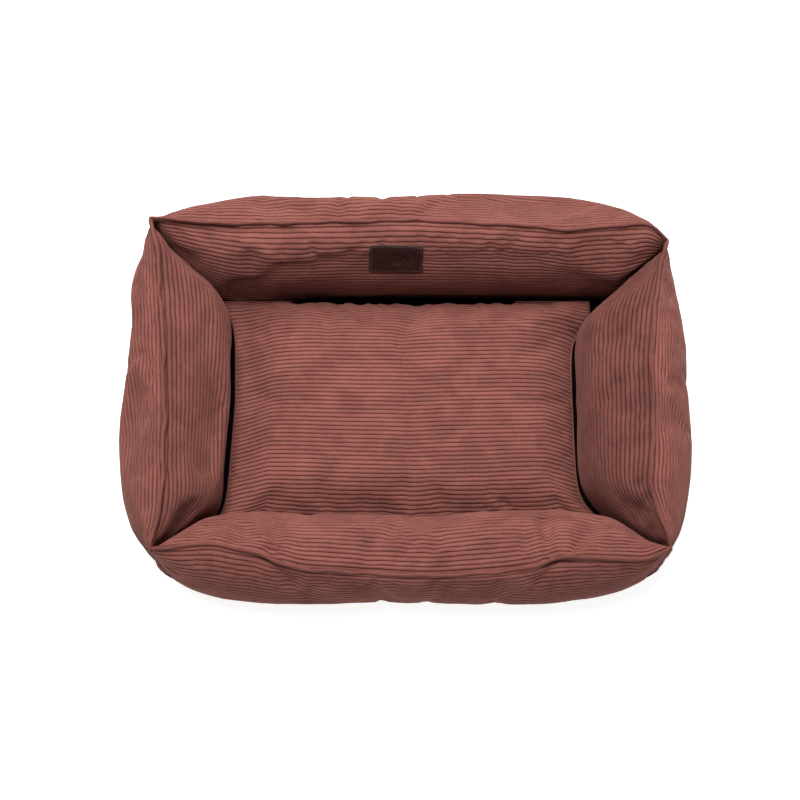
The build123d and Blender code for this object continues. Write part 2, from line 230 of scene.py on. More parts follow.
# How far, in mm, each inner face comes in beyond the drawn one, by share of the way along.
FULLEST = {
    "back": [(0.0, -14), (0.25, -15.5), (0.75, -15.5), (1.0, -14)],
    "left": [(0.2, -6), (0.5, 0), (0.8, -4)],
    "right": [(0.2, 0), (0.5, 0), (0.8, 0)],
    "front": [(0.12, 10), (0.21, 15), (0.33, 9), (0.5, 5), (0.66, 9), (0.79, 15), (0.88, 10)],
}
# Each corner's mitre, seen from above: the side wall's depth over the distance from the tip.
MITRES = {"back_left": 1.05, "back_right": 1.30, "front_left": 1.05, "front_right": 1.15}
MAX_BULGE = 5.0 * MM                # the most that the outer faces swell past the drawn ones
RIM_SMOOTHING = 9.0 * MM
SAG_LIFT = 2.4                      # how steeply the panel rises behind a sagging rim
SHOULDER_DROP, ANKLE_RISE = 0.06, 0.10          # how squarely a face leaves its rim and meets its foot
MITRE_POWER = 8                     # how sharply an inner face turns from its mitre to its full depth
RIM_TABLE = 400                     # steps in a rim's lookup table
CURVE_POINTS, CURVE_ROUNDS = 121, 10
REACH_ROUNDS, REACH_SMOOTHING = 4, 3
FAR = 9.0                           # farther than anything
IN_CELLS, FOOT_CELLS, OUT_CELLS = 22, 8, 20


def corner(name):
    """The top of a corner, where two rim seams meet."""
    low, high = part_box(f"{name}_corner_seam")
    x = low[0] if "left" in name else high[0]
    y = high[1] if "back" in name else low[1]
    return np.array([x, y, high[2]]) + np.array(TIP_SHIFTS[name])


class Wall:
    """A wall in its own terms. turn is the direction in which n grows."""

    def __init__(self, name, turn, corners):
        self.name, self.turn = name, turn
        self.tips = [self.wallwise(corner(end)) for end in corners]
        self.slopes = [MITRES[end] if turn[0] else 1 / MITRES[end] for end in corners]
        self.inner = min(self.across("inner_panel"))
        self.outer = max(self.across("outer_panel"))
        near, far = sorted(self.across("rim_seam"))
        self.rim = far - WELT_HALF if turn[1] else near + WELT_HALF
        low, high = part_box(f"{name}_rim_seam")
        self.sags = name == "front"
        self.height = low[2] if self.sags else high[2] - WELT_HEIGHT
        self.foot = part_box(f"{name}_inner_panel")[0][2]
        self.length = self.tips[1][0] - self.tips[0][0]
        self.cells = round(self.length / COARSE)

    def across(self, node):
        """A node's two extremes of n."""
        x, y = self.turn
        return [p[0] * x + p[1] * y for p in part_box(f"{self.name}_{node}")]

    def wallwise(self, p):
        """From x, y, z to s, n, z."""
        x, y = self.turn
        p = np.asarray(p)
        s = p[..., 0] * abs(y) + p[..., 1] * abs(x)
        return np.stack([s, p[..., 0] * x + p[..., 1] * y, p[..., 2]], axis=-1)

    def place(self, s, n, z):
        x, y = self.turn
        return np.stack([n * x + s * abs(y), n * y + s * abs(x), z + 0 * s], axis=-1)

    def rim_line(self, s):
        """n and z of the rim seam."""
        knots = [(share, self.rim + out * MM, self.height + up * MM) for share, out, up in RIMS[self.name]]
        knots = [(0, *self.tips[0][1:])] + knots + [(1, *self.tips[1][1:])]
        table = np.linspace(0, 1, RIM_TABLE + 1)
        shares, *ways = zip(*knots)
        reach = round(RIM_TABLE * RIM_SMOOTHING / self.length)
        found = []
        for way in ways:
            line = np.interp(table, shares, way)
            eased = smooth(line, reach)
            keep = ease(np.minimum(table, 1 - table) * self.length / (2 * RIM_SMOOTHING))
            line += keep * (eased - line)
            found.append(np.interp((s - self.tips[0][0]) / self.length, table, line))
        return found

    def sections(self):
        """The wall as a grid of points: closed loops, rim to inner foot to outer foot and back."""
        s = np.linspace(self.tips[0][0], self.tips[1][0], self.cells + 1)
        rim, top = self.rim_line(s)
        base = np.interp(s, [tip[0] for tip in self.tips], [tip[1] for tip in self.tips])
        inner, outer = base + SWELL * (self.fullest_line(s) - base), np.full_like(s, FAR)
        for tip_s, tip_n, _ in self.tips:
            swell = SWELL * (self.outer - tip_n) * settle(np.abs(s - tip_s), BULGE_RUN)
            outer = np.minimum(outer, tip_n + swell)
        foot_in = base - FOOT_IN * (base - inner)
        foot_out = base + FOOT_OUT * (outer - base)
        crown = np.maximum(top, FRONT_CROWN) if self.sags else top
        over = crown + SAG_LIFT * (crown - top)
        loops = []
        for i in range(len(s)):
            into = face_curve(rim[i], inner[i], foot_in[i], top[i], over[i], self.foot, IN_CELLS)
            out = face_curve(rim[i], outer[i], foot_out[i], top[i], crown[i], self.foot, OUT_CELLS)
            under = np.linspace(into[-1], out[-1], FOOT_CELLS + 1)
            loops.append(np.vstack([into, under[1:-1], out[:0:-1]]))
        loops = np.array(loops).transpose(1, 0, 2)
        return self.place(s[None, :] + 0 * loops[..., 0], loops[..., 0], loops[..., 1])

    def on_base(self, grid):
        """Lays a wall's underside flat on the base."""
        grid = grid.copy()
        grid[..., 2] = np.maximum(grid[..., 2], self.foot)
        return grid

    def settle_in(self, grid):
        """Keeps an inflated wall off its neighbours, off the floor and out of the cushion's way."""
        s, n, z = np.moveaxis(self.wallwise(grid), -1, 0)
        n[: IN_CELLS + 1] = self.reach_in(s[: IN_CELLS + 1], n[: IN_CELLS + 1])
        for (tip_s, tip_n, _), slope in zip(self.tips, self.slopes):
            n = np.maximum(n, tip_n - slope * np.maximum(np.abs(s - tip_s) - MITRE_GAP, 0))
        return self.place(s, np.minimum(n, self.outer + MAX_BULGE), np.maximum(z, self.foot))

    def fullest_line(self, s):
        """How far out from the middle the inner face is where it is fullest."""
        shares, beyond = zip(*FULLEST[self.name])
        face = self.inner - MM * np.interp((s - self.tips[0][0]) / self.length, shares, beyond)
        line = np.full_like(s, -FAR)
        for (tip_s, tip_n, _), slope in zip(self.tips, self.slopes):
            t = slope * (np.abs(s - tip_s) - MITRE_GAP)
            line = np.maximum(line, tip_n - soft_min(t, tip_n - face, MITRE_POWER))
        return line

    def reach_in(self, s, n):
        """Draws the inner face out until it is as full as it lies."""
        fullest = self.fullest_line(s.mean(axis=0))
        share = np.sin(np.linspace(0, math.pi, n.shape[0]))[:, None]
        for _ in range(REACH_ROUNDS):
            n = n + share * smooth(fullest - n.min(axis=0), REACH_SMOOTHING)[None, :]
        return n


def face_curve(rim, widest, foot, top, over, low, cells):
    """One face of a wall at one place, as cells + 1 points (n, z) from its rim to its foot."""
    u = np.linspace(0, 1, CURVE_POINTS)
    pick = np.max if widest > rim else np.min
    reach = widest
    for _ in range(CURVE_ROUNDS):
        n = rim * (1 - u) ** 3 + 3 * reach * u * (1 - u) + foot * u**3
        reach += (widest - pick(n)) * 4 / 3
    n = rim * (1 - u) ** 3 + 3 * reach * u * (1 - u) + foot * u**3
    rise = top - low
    shoulder, ankle = over - SHOULDER_DROP * rise, low + ANKLE_RISE * rise
    z = top * (1 - u) ** 3 + 3 * shoulder * u * (1 - u) ** 2 + 3 * ankle * u * u * (1 - u) + low * u**3
    run = np.concatenate([[0], np.cumsum(np.hypot(np.diff(n), np.diff(z)))])
    even = np.linspace(0, run[-1], cells + 1)
    return np.stack([np.interp(even, run, n), np.interp(even, run, z)], axis=-1)


# ---- the seat cushion, as drawn ----
SEAT_CROWN = 3.0 * MM               # how far the middle stands above the drawn cushion
SEAT_SPREAD = (18.0 * MM, 17.0 * MM)            # the most it spreads beyond the drawn one, in X and Y
SEAT_GAP = 2.0 * MM                 # between the cushion and the walls
SEAT_EDGE_POWER = 9.0               # how squarely the top turns down at its edges
SEAT_SLACK = (1.08, 1.10)           # its panels' size over its own, in X and Y


def edge_turn(cells, reach, drop):
    """Places across a pillow from seam to seam: how far out, and how high, both from 0 to 1."""
    x = np.sin(np.linspace(0, math.pi / 2, 400))
    z = (1 - x**SEAT_EDGE_POWER) ** 0.5
    run = np.concatenate([[0], np.cumsum(np.hypot(np.diff(x) * reach, np.diff(z) * drop))])
    half = np.linspace(0, run[-1], cells // 2 + 1)
    out, up = np.interp(half, run, x), np.interp(half, run, z)
    return np.concatenate([-out[:0:-1], out]), np.concatenate([up[:0:-1], up])


class Seat:
    def __init__(self, walls):
        self.walls = {wall.name: wall for wall in walls}
        top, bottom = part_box("seat_top_panel"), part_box("seat_bottom_panel")
        self.low, self.high = bottom[0], top[1]
        self.middle = (bottom[1][2] + top[0][2]) / 2
        self.half_x, self.half_y = (
            (high - low) / 2 + spread for low, high, spread in zip(self.low, self.high, SEAT_SPREAD)
        )
        self.centre_y = (self.high[1] + self.low[1]) / 2
        self.columns = 2 * round(self.half_x * SEAT_SLACK[0] / COARSE)
        self.rows = 2 * round(self.half_y * SEAT_SLACK[1] / COARSE)

    def faces(self):
        """Upper and lower panel, as grids: rows along X, from the front to the back."""
        rise, drop = self.high[2] - self.middle, self.middle - self.low[2]
        ax, az = edge_turn(self.columns, self.half_x, rise)
        by, bz = edge_turn(self.rows, self.half_y, rise)
        y = self.centre_y + self.half_y * by[:, None] + 0 * ax[None, :]
        x = self.half_x * ax[None, :] + 0 * y
        x, y = self.fill(x, y)
        height = az[None, :] * bz[:, None]
        crown = SEAT_CROWN * (1 - ax[None, :] ** 2) * (1 - by[:, None] ** 2)
        upper = np.stack([x, y, self.middle + rise * height + crown], axis=-1)
        lower = np.stack([x, y, self.middle - drop * height], axis=-1)
        return upper, lower

    def fill(self, x, y):
        """Spreads the cushion's outline out to the walls round it, as far as its own size lets it."""
        for _ in range(2):
            for side, low, values, along, axis, middle, half in (
                ("right", "left", x, y, 1, 0.0, self.half_x),
                ("back", "front", y, x, 0, self.centre_y, self.half_y),
            ):
                at = along.mean(axis=axis)
                high_end = np.minimum(self.walls[side].fullest_line(at) - SEAT_GAP, middle + half)
                low_end = np.maximum(SEAT_GAP - self.walls[low].fullest_line(at), middle - half)
                least, most = values.min(axis=axis), values.max(axis=axis)
                ends = (least, most, low_end, high_end)
                least, most, low_end, high_end = (np.expand_dims(end, axis) for end in ends)
                stretch = (high_end - low_end) - (most - least)
                values += (low_end - least) + (values - least) / (most - least) * stretch
        return x, y

    def settle_in(self, grid):
        """Fills the inflated cushion out between the walls, and keeps it on the base."""
        x, y, z = np.moveaxis(grid.copy(), -1, 0)
        x, y = self.fill(x, y)
        return np.stack([x, y, np.maximum(z, self.low[2])], axis=-1)


# ---- cloth simulation ----
def add_cloth(piece):
    """Gives a mesh the simulation that blows it up."""
    modifier = piece.modifiers.new("Cloth", "CLOTH")
    modifier.point_cache.frame_start, modifier.point_cache.frame_end = 1, SIM_FRAMES
    for setting, value in SIM_SETTINGS.items():
        setattr(modifier.settings, setting, value)
    modifier.settings.effector_weights.gravity = 0
    modifier.collision_settings.use_collision = False


def inflate(shapes):
    """Inflates closed cloth shapes. Each is (grids, faces, pinned, gathered), weights one to a point."""
    points = np.concatenate([g.reshape(-1, 3) for grids, *_ in shapes for g in grids])
    faces, start = [], 0
    for grids, local, *_ in shapes:
        faces.append(local + start)
        start += sum(g.shape[0] * g.shape[1] for g in grids)
    cloth = new_mesh("inflating", points, np.concatenate(faces))
    for name, part in (("pin", 2), ("gather", 3)):
        group = cloth.vertex_groups.new(name=name)
        weights = np.concatenate([shape[part] for shape in shapes])
        for index in np.nonzero(weights)[0]:
            group.add([int(index)], float(weights[index]), "REPLACE")
    add_cloth(cloth)
    scene = bpy.context.scene
    for step in range(1, SIM_FRAMES + 1):
        scene.frame_set(step)
    settled = cloth.evaluated_get(bpy.context.evaluated_depsgraph_get()).data
    found = np.empty(len(points) * 3)
    settled.vertices.foreach_get("co", found)
    moved = found.reshape(-1, 3) - points
    size = np.maximum(np.linalg.norm(moved, axis=1, keepdims=True), 1e-9)
    points = points + moved * (np.tanh(size / SIM_CAP) * SIM_CAP / size)
    bpy.data.objects.remove(cloth, do_unlink=True)
    scene.frame_set(1)
    result, start = [], 0
    for grids, *_ in shapes:
        mine = []
        for g in grids:
            count = g.shape[0] * g.shape[1]
            mine.append(points[start:start + count].reshape(g.shape))
            start += count
        result.append(mine)
    return result


def wall_shape(wall):
    """A wall's grid, faces, pins and gathers. It is held at its foot and corners, and loosely at its rim."""
    grid = wall.sections()
    rows, columns = grid.shape[:2]
    pinned, gathered = np.zeros((rows, columns)), np.zeros((rows, columns))
    pinned[0] = RIM_HOLD
    pinned[IN_CELLS:IN_CELLS + FOOT_CELLS + 1] = 1
    pinned[:, [0, -1]] = 1
    gathered[[0, 1, -1]] = 1
    gathered[:, [1, -2]] = 0.5
    return [grid], grid_faces(rows, columns, closed=True), pinned.ravel(), gathered.ravel()


def seat_shape(seat):
    """The cushion's two grids, sewn together round their edge, and pinned where it lies on the base."""
    upper, lower = seat.faces()
    rows, columns = upper.shape[:2]
    count = rows * columns
    edge = np.zeros((rows, columns), bool)
    edge[[0, -1]] = edge[:, [0, -1]] = True
    edge = edge.ravel()
    below = np.arange(count) + count
    below[edge] = np.arange(count)[edge]
    top = grid_faces(rows, columns)
    bottom = below[top][:, ::-1]
    gathered = np.concatenate([edge, edge]).astype(float)
    pinned = np.concatenate([SEAT_EDGE_HOLD * edge, np.ones(count)])
    return [upper, lower], np.vstack([top, bottom]), pinned, gathered


# ---- fine surfaces ----
LUMP, LUMP_SIZE = 1.6 * MM, 75 * MM          # the stuffing's unevenness
CRUMPLE = 0.9 * MM                           # wrinkles across the ribs, next to seams
CRUMPLE_LENGTH, CRUMPLE_REACH = 20 * MM, 55 * MM
SEAM_TUCK, SEAM_TUCK_REACH = 2.4 * MM, 4.0 * MM
SEAM_HOLD, END_HOLD = 6 * MM, 20 * MM        # the cloth lies smooth this close to a seam, or to a corner
RIB_MEAN, RIB_FADE = 0.6, 8 * MM             # the ribs' mean height, and how they fade out at a corner

# Creases pressed into a panel: metres along from the low corner and down from the rim, at each end;
# then half width and depth.
CREASES = {
    ("front", "inner"): [
        ((0.163, 0.000), (0.172, 0.080), 10 * MM, 11.0 * MM),
        ((0.150, 0.012), (0.118, 0.055), 8 * MM, 3.5 * MM),
        ((0.530, 0.000), (0.522, 0.075), 9 * MM, 12.0 * MM),
        ((0.500, 0.010), (0.494, 0.060), 7 * MM, 4.0 * MM),
        ((0.552, 0.008), (0.590, 0.050), 8 * MM, 4.5 * MM),
    ],
    ("front", "outer"): [
        ((0.163, 0.000), (0.200, 0.055), 10 * MM, 7.0 * MM),
        ((0.150, 0.000), (0.125, 0.045), 10 * MM, 4.0 * MM),
        ((0.532, 0.000), (0.500, 0.055), 9 * MM, 7.0 * MM),
        ((0.545, 0.000), (0.585, 0.045), 10 * MM, 4.0 * MM),
    ],
    ("right", "inner"): [
        ((0.085, 0.000), (0.075, 0.060), 7 * MM, 2.5 * MM),
        ((0.060, 0.010), (0.045, 0.060), 6 * MM, 2.0 * MM),
        ((0.345, 0.000), (0.350, 0.050), 8 * MM, 2.0 * MM),
        ((0.395, 0.000), (0.405, 0.050), 8 * MM, 2.0 * MM),
    ],
    ("left", "inner"): [((0.330, 0.000), (0.335, 0.050), 9 * MM, 1.5 * MM)],
    ("back", "inner"): [((0.190, 0.000), (0.195, 0.050), 10 * MM, 1.5 * MM)],
}


def rib_rows(ribs):
    """Fractional rib numbers of the rows of vertices, from the first groove to the last."""
    return np.array([k + phase for k in range(ribs) for phase in RIB_PHASES] + [ribs])


def rib_height(number):
    """From 0 in a groove to 1 along a rib's back."""
    across = np.abs(2 * (number % 1.0) - 1)
    return (1 - across**3) ** 0.6


def press(u, v, creases):
    """How deep the valleys of a panel's creases are."""
    depth = 0 * u
    for (u0, v0), (u1, v1), half, low in creases:
        run = np.array([u1 - u0, v1 - v0])
        share = np.clip(((u - u0) * run[0] + (v - v0) * run[1]) / (run @ run), 0, 1)
        away = np.hypot(u - u0 - share * run[0], v - v0 - share * run[1])
        depth = depth + low * (1 - 0.6 * share) * np.exp(-((away / half) ** 2))
    return depth


def corduroy(coarse, span, seed, creases=(), both_sewn=False, calm=None):
    """The fine surface of a panel, ribs and all, from its coarse grid.

    span is its length in metres. Its first row is sewn, and its last one too if both_sewn. calm is a place,
    u, v and reach, without lumps.
    Returns the base surface, its outward normals, the ribbed surface, and uv in metres.
    """
    rows, columns = coarse.shape[:2]
    ribs = round(run_along(coarse[:, columns // 2])[-1] / RIB_PITCH)
    number = rib_rows(ribs)
    across = round(span / ALONG_STEP)
    base = resample(coarse, number / ribs * (rows - 1), np.linspace(0, columns - 1, across + 1))
    u = np.linspace(0, span, across + 1)[None, :] + 0 * number[:, None]
    v = (number * RIB_PITCH)[:, None] + 0 * u
    from_seam = np.minimum(v, v[-1] - v) if both_sewn else v
    from_end = np.minimum(u, span - u)
    normal = outward(base)
    pucker = np.exp(-from_seam / CRUMPLE_REACH * 2) + 0.8 * np.exp(-from_end / CRUMPLE_REACH) + 0.15
    rise = LUMP * noise(u / LUMP_SIZE, v / LUMP_SIZE, seed)
    rise = rise + CRUMPLE * pucker * noise(u / CRUMPLE_LENGTH, v / (4 * CRUMPLE_LENGTH), seed + 1)
    if calm:
        rise = rise * (1 - np.exp(-((np.hypot(u - calm[0], v - calm[1]) / calm[2]) ** 4)))
    rise = rise - press(u, v, creases)
    rise = rise * ease(from_end / END_HOLD) * ease(from_seam / SEAM_HOLD)
    base = base + normal * rise[..., None]
    normal = outward(base)
    relief = RIB_DEPTH * (rib_height(number)[:, None] - RIB_MEAN) * ease(from_end / RIB_FADE + 0.15)
    relief = relief - SEAM_TUCK * np.exp(-((from_seam / SEAM_TUCK_REACH) ** 2))
    return base, normal, base + normal * relief[..., None], np.stack([u, v], axis=-1)


def outward(grid):
    """Unit normals that point away from the middle of the stuffing behind a panel."""
    normal = normals_of(grid)
    chord = (grid[:1] + grid[-1:]) / 2
    side = np.sum(normal * (grid - chord), axis=2).mean()
    return normal if side > 0 else -normal


def panel_piece(name, ribbed, uv, material, shift):
    """A panel's mesh, with faces that look outwards."""
    rows, columns = ribbed.shape[:2]
    faces = grid_faces(rows, columns)
    a, b, _, d = (ribbed.reshape(-1, 3)[faces[:, i]] for i in range(4))
    facing = np.cross(b - a, d - a).reshape(rows - 1, columns - 1, 3)
    wanted = outward(ribbed)[:-1, :-1]
    if np.sum(facing * wanted) < 0:
        faces = faces[:, ::-1]
    return new_mesh(name, ribbed, faces, uv + np.array([shift, 0.0]), material)


# ---- seams ----
WELT_POINTS, WELT_SQUARENESS = 9, 0.7
WELT_PILE = (0.22, 0.78)            # the share of a rib that shows on a welt
WELT_STEP = 4.0 * MM                # spacing of points along a seam
WELT_SUNK = 1.4 * MM                # how deep a rim's welt sits in the cloth
WELT_SWAY, WELT_TAPER = 1.5 * MM, 18.0 * MM
WELT_SLIM, WELT_THIN = 0.8, 0.62    # a rim's welt, as a share of the drawn one: its width, and at its ends
WIDTH_VARIES, HEIGHT_VARIES = 0.16, 0.2
SWAY_WAVE, WIDTH_WAVE, HEIGHT_WAVE = 24 * MM, 17 * MM, 21 * MM


def tube(name, path, side, up, half, height, material, shift=0.0):
    """A welt along a path: an arch, half wide to each side and height tall, on a flat foot."""
    angle = np.linspace(0, math.pi, WELT_POINTS)
    out = np.cos(angle)[:, None, None] * half[None, :, None] * side[None]
    rise = (np.sin(angle) ** WELT_SQUARENESS)[:, None, None] * height[None, :, None] * up[None]
    rows = path[None] + out + rise
    run = run_along(path)
    v = RIB_PITCH * (WELT_PILE[0] + (WELT_PILE[1] - WELT_PILE[0]) * np.linspace(0, 1, WELT_POINTS))
    uv = np.stack([run[None, :] + shift + 0 * v[:, None], v[:, None] + 0 * run[None, :]], axis=-1)
    return new_mesh(name, rows, grid_faces(WELT_POINTS, len(path), closed=True), uv, material)


def rim_welt(wall, grid, material, seed):
    """The raised seam along the top of a wall, a little uneven."""
    count = round(wall.length / WELT_STEP)
    path = resample(grid[:1].repeat(2, axis=0), [0], np.linspace(0, grid.shape[1] - 1, count + 1))[0]
    along = unit(np.gradient(path, axis=0))
    side = unit(np.cross(along, np.array([0.0, 0.0, 1.0])))
    up = unit(np.cross(side, along))
    s = np.linspace(0, wall.length, count + 1)
    near = ease(np.minimum(s, wall.length - s) / WELT_TAPER)
    sway = WELT_SWAY * waver(s, SWAY_WAVE, seed) * near
    half = WELT_SLIM * WELT_HALF * (WELT_THIN + (1 - WELT_THIN) * near)
    half = half * (1 + WIDTH_VARIES * waver(s, WIDTH_WAVE, seed, 3.5))
    height = (WELT_HEIGHT + WELT_SUNK) * (1 + HEIGHT_VARIES * waver(s, HEIGHT_WAVE, seed, 7.5))
    path = path + side * sway[:, None] - up * WELT_SUNK
    return tube(f"{wall.name}_rim_seam_cloth", path, side, up, half, height, material, shift=seed)


# ---- corner seams ----
CORNER_SEAM, CORNER_SWAY = 3.2 * MM, 1.2 * MM
CORNER_SWAY_WAVE, CORNER_WIDTH_WAVE = 30 * MM, 16 * MM
CORNER_POINTS, CORNER_VARIES = 40, 0.15
CORNER_TAPER, CORNER_START = 12, 0.35           # how fast it thickens from its end, and how thick it starts
CORNER_SUNK, CORNER_TALL = 0.8 * CORNER_SEAM, 1.8
CORNER_TUCK = 3.0 * MM              # how far its end is below the tip


def corner_welt(name, material, seed):
    """The upright seam at a corner, where two walls are sewn together."""
    tip = corner(name)
    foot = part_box(f"{name}_corner_seam")[0][2]
    z = np.linspace(tip[2] - CORNER_TUCK, foot, CORNER_POINTS)
    sway = CORNER_SWAY * waver(z, CORNER_SWAY_WAVE, seed)
    path = np.stack([tip[0] + sway, tip[1] + sway, z], axis=-1)
    outwards = unit(np.array([tip[0], tip[1], 0.0]))
    side = np.tile([-outwards[1], outwards[0], 0.0], (CORNER_POINTS, 1))
    up = np.tile(outwards, (CORNER_POINTS, 1))
    taper = ease(np.linspace(0, 1, CORNER_POINTS) * CORNER_TAPER + CORNER_START)
    half = CORNER_SEAM * taper * (1 + CORNER_VARIES * waver(z, CORNER_WIDTH_WAVE, seed + 1))
    path = path - up * CORNER_SUNK
    return tube(f"{name}_corner_seam_cloth", path, side, up, half, CORNER_TALL * half, material, shift=seed)


# ---- the leather patch ----
PATCH_ARC = 36 * MM                 # from the rim seam down to the patch
PATCH_ROUND = 4 * MM
PATCH_CALM = (0.356, 0.056, 0.075)  # the stuffing lies even behind it: u, v and reach
PATCH_TILT = math.radians(2.2)
PATCH_EDGE = 0.9 * MM               # radius of the rounded rim of the leather
PATCH_STEP = 0.7 * MM
PATCH_LIFT = 2.1 * MM               # the leather's top over the cloth beneath
UNDER_PATCH, PATCH_FADE = 1.0 * MM, 3.0 * MM    # the ribs are pressed down beneath it, and just round it
PATCH_TUCK = 1.5 * MM               # how far its rim goes into the cloth
PATCH_FIT = (1.1, 23, 15)           # reach and counts of the places that its surface is fitted to
HIDE_LUMP, HIDE_LUMP_SIZE, HIDE_SEED = 0.25 * MM, 14 * MM, 71
STITCH_INSET, STITCH_LENGTH, STITCH_GAP = 2.6 * MM, 2.9 * MM, 1.5 * MM
STITCH_RADIUS, STITCH_SUNK, STITCH_DIP = 0.42 * MM, 0.1 * MM, 0.3 * MM
STITCH_ROUND, STITCH_RINGS = 8, 9
GROOVE_HALF, GROOVE_DEPTH = 0.9 * MM, 0.35 * MM
# A paw print: centres and half sizes of the pad and the toes, from the patch's middle.
PAW = (
    ((0.0, -3.6), (6.6, 5.2)),
    ((-8.2, 2.4), (2.3, 3.2)),
    ((-3.0, 7.4), (2.4, 3.5)),
    ((3.0, 7.4), (2.4, 3.5)),
    ((8.2, 2.4), (2.3, 3.2)),
)
PAW_DEPTH = 0.8 * MM
PAW_EDGE, PAW_SLOPE = 1.12, 0.24    # where the print's sides begin, and their width, as shares of its size


def rounded(a, b, half_x, half_y, radius):
    """Bends the corners of a rectangular grid of places into arcs."""
    over_a, over_b = np.abs(a) - (half_x - radius), np.abs(b) - (half_y - radius)
    inside = (over_a > 0) & (over_b > 0)
    ra, rb = np.clip(over_a / radius, 0, 1), np.clip(over_b / radius, 0, 1)
    new_a = (half_x - radius) + radius * ra * np.sqrt(1 - rb**2 / 2)
    new_b = (half_y - radius) + radius * rb * np.sqrt(1 - ra**2 / 2)
    return np.where(inside, np.sign(a) * new_a, a), np.where(inside, np.sign(b) * new_b, b)


def edge_distance(a, b, half_x, half_y, radius):
    """How far a place is inside a rounded rectangle."""
    qa, qb = np.abs(a) - (half_x - radius), np.abs(b) - (half_y - radius)
    return radius - np.hypot(np.maximum(qa, 0), np.maximum(qb, 0)) - np.minimum(np.maximum(qa, qb), 0)


def paw_depth(a, b):
    depth = np.zeros_like(a)
    for (x, y), (rx, ry) in PAW:
        away = np.hypot((a / MM - x) / rx, (b / MM - y) / ry)
        depth = np.maximum(depth, ease((PAW_EDGE - away) / PAW_SLOPE))
    return PAW_DEPTH * depth


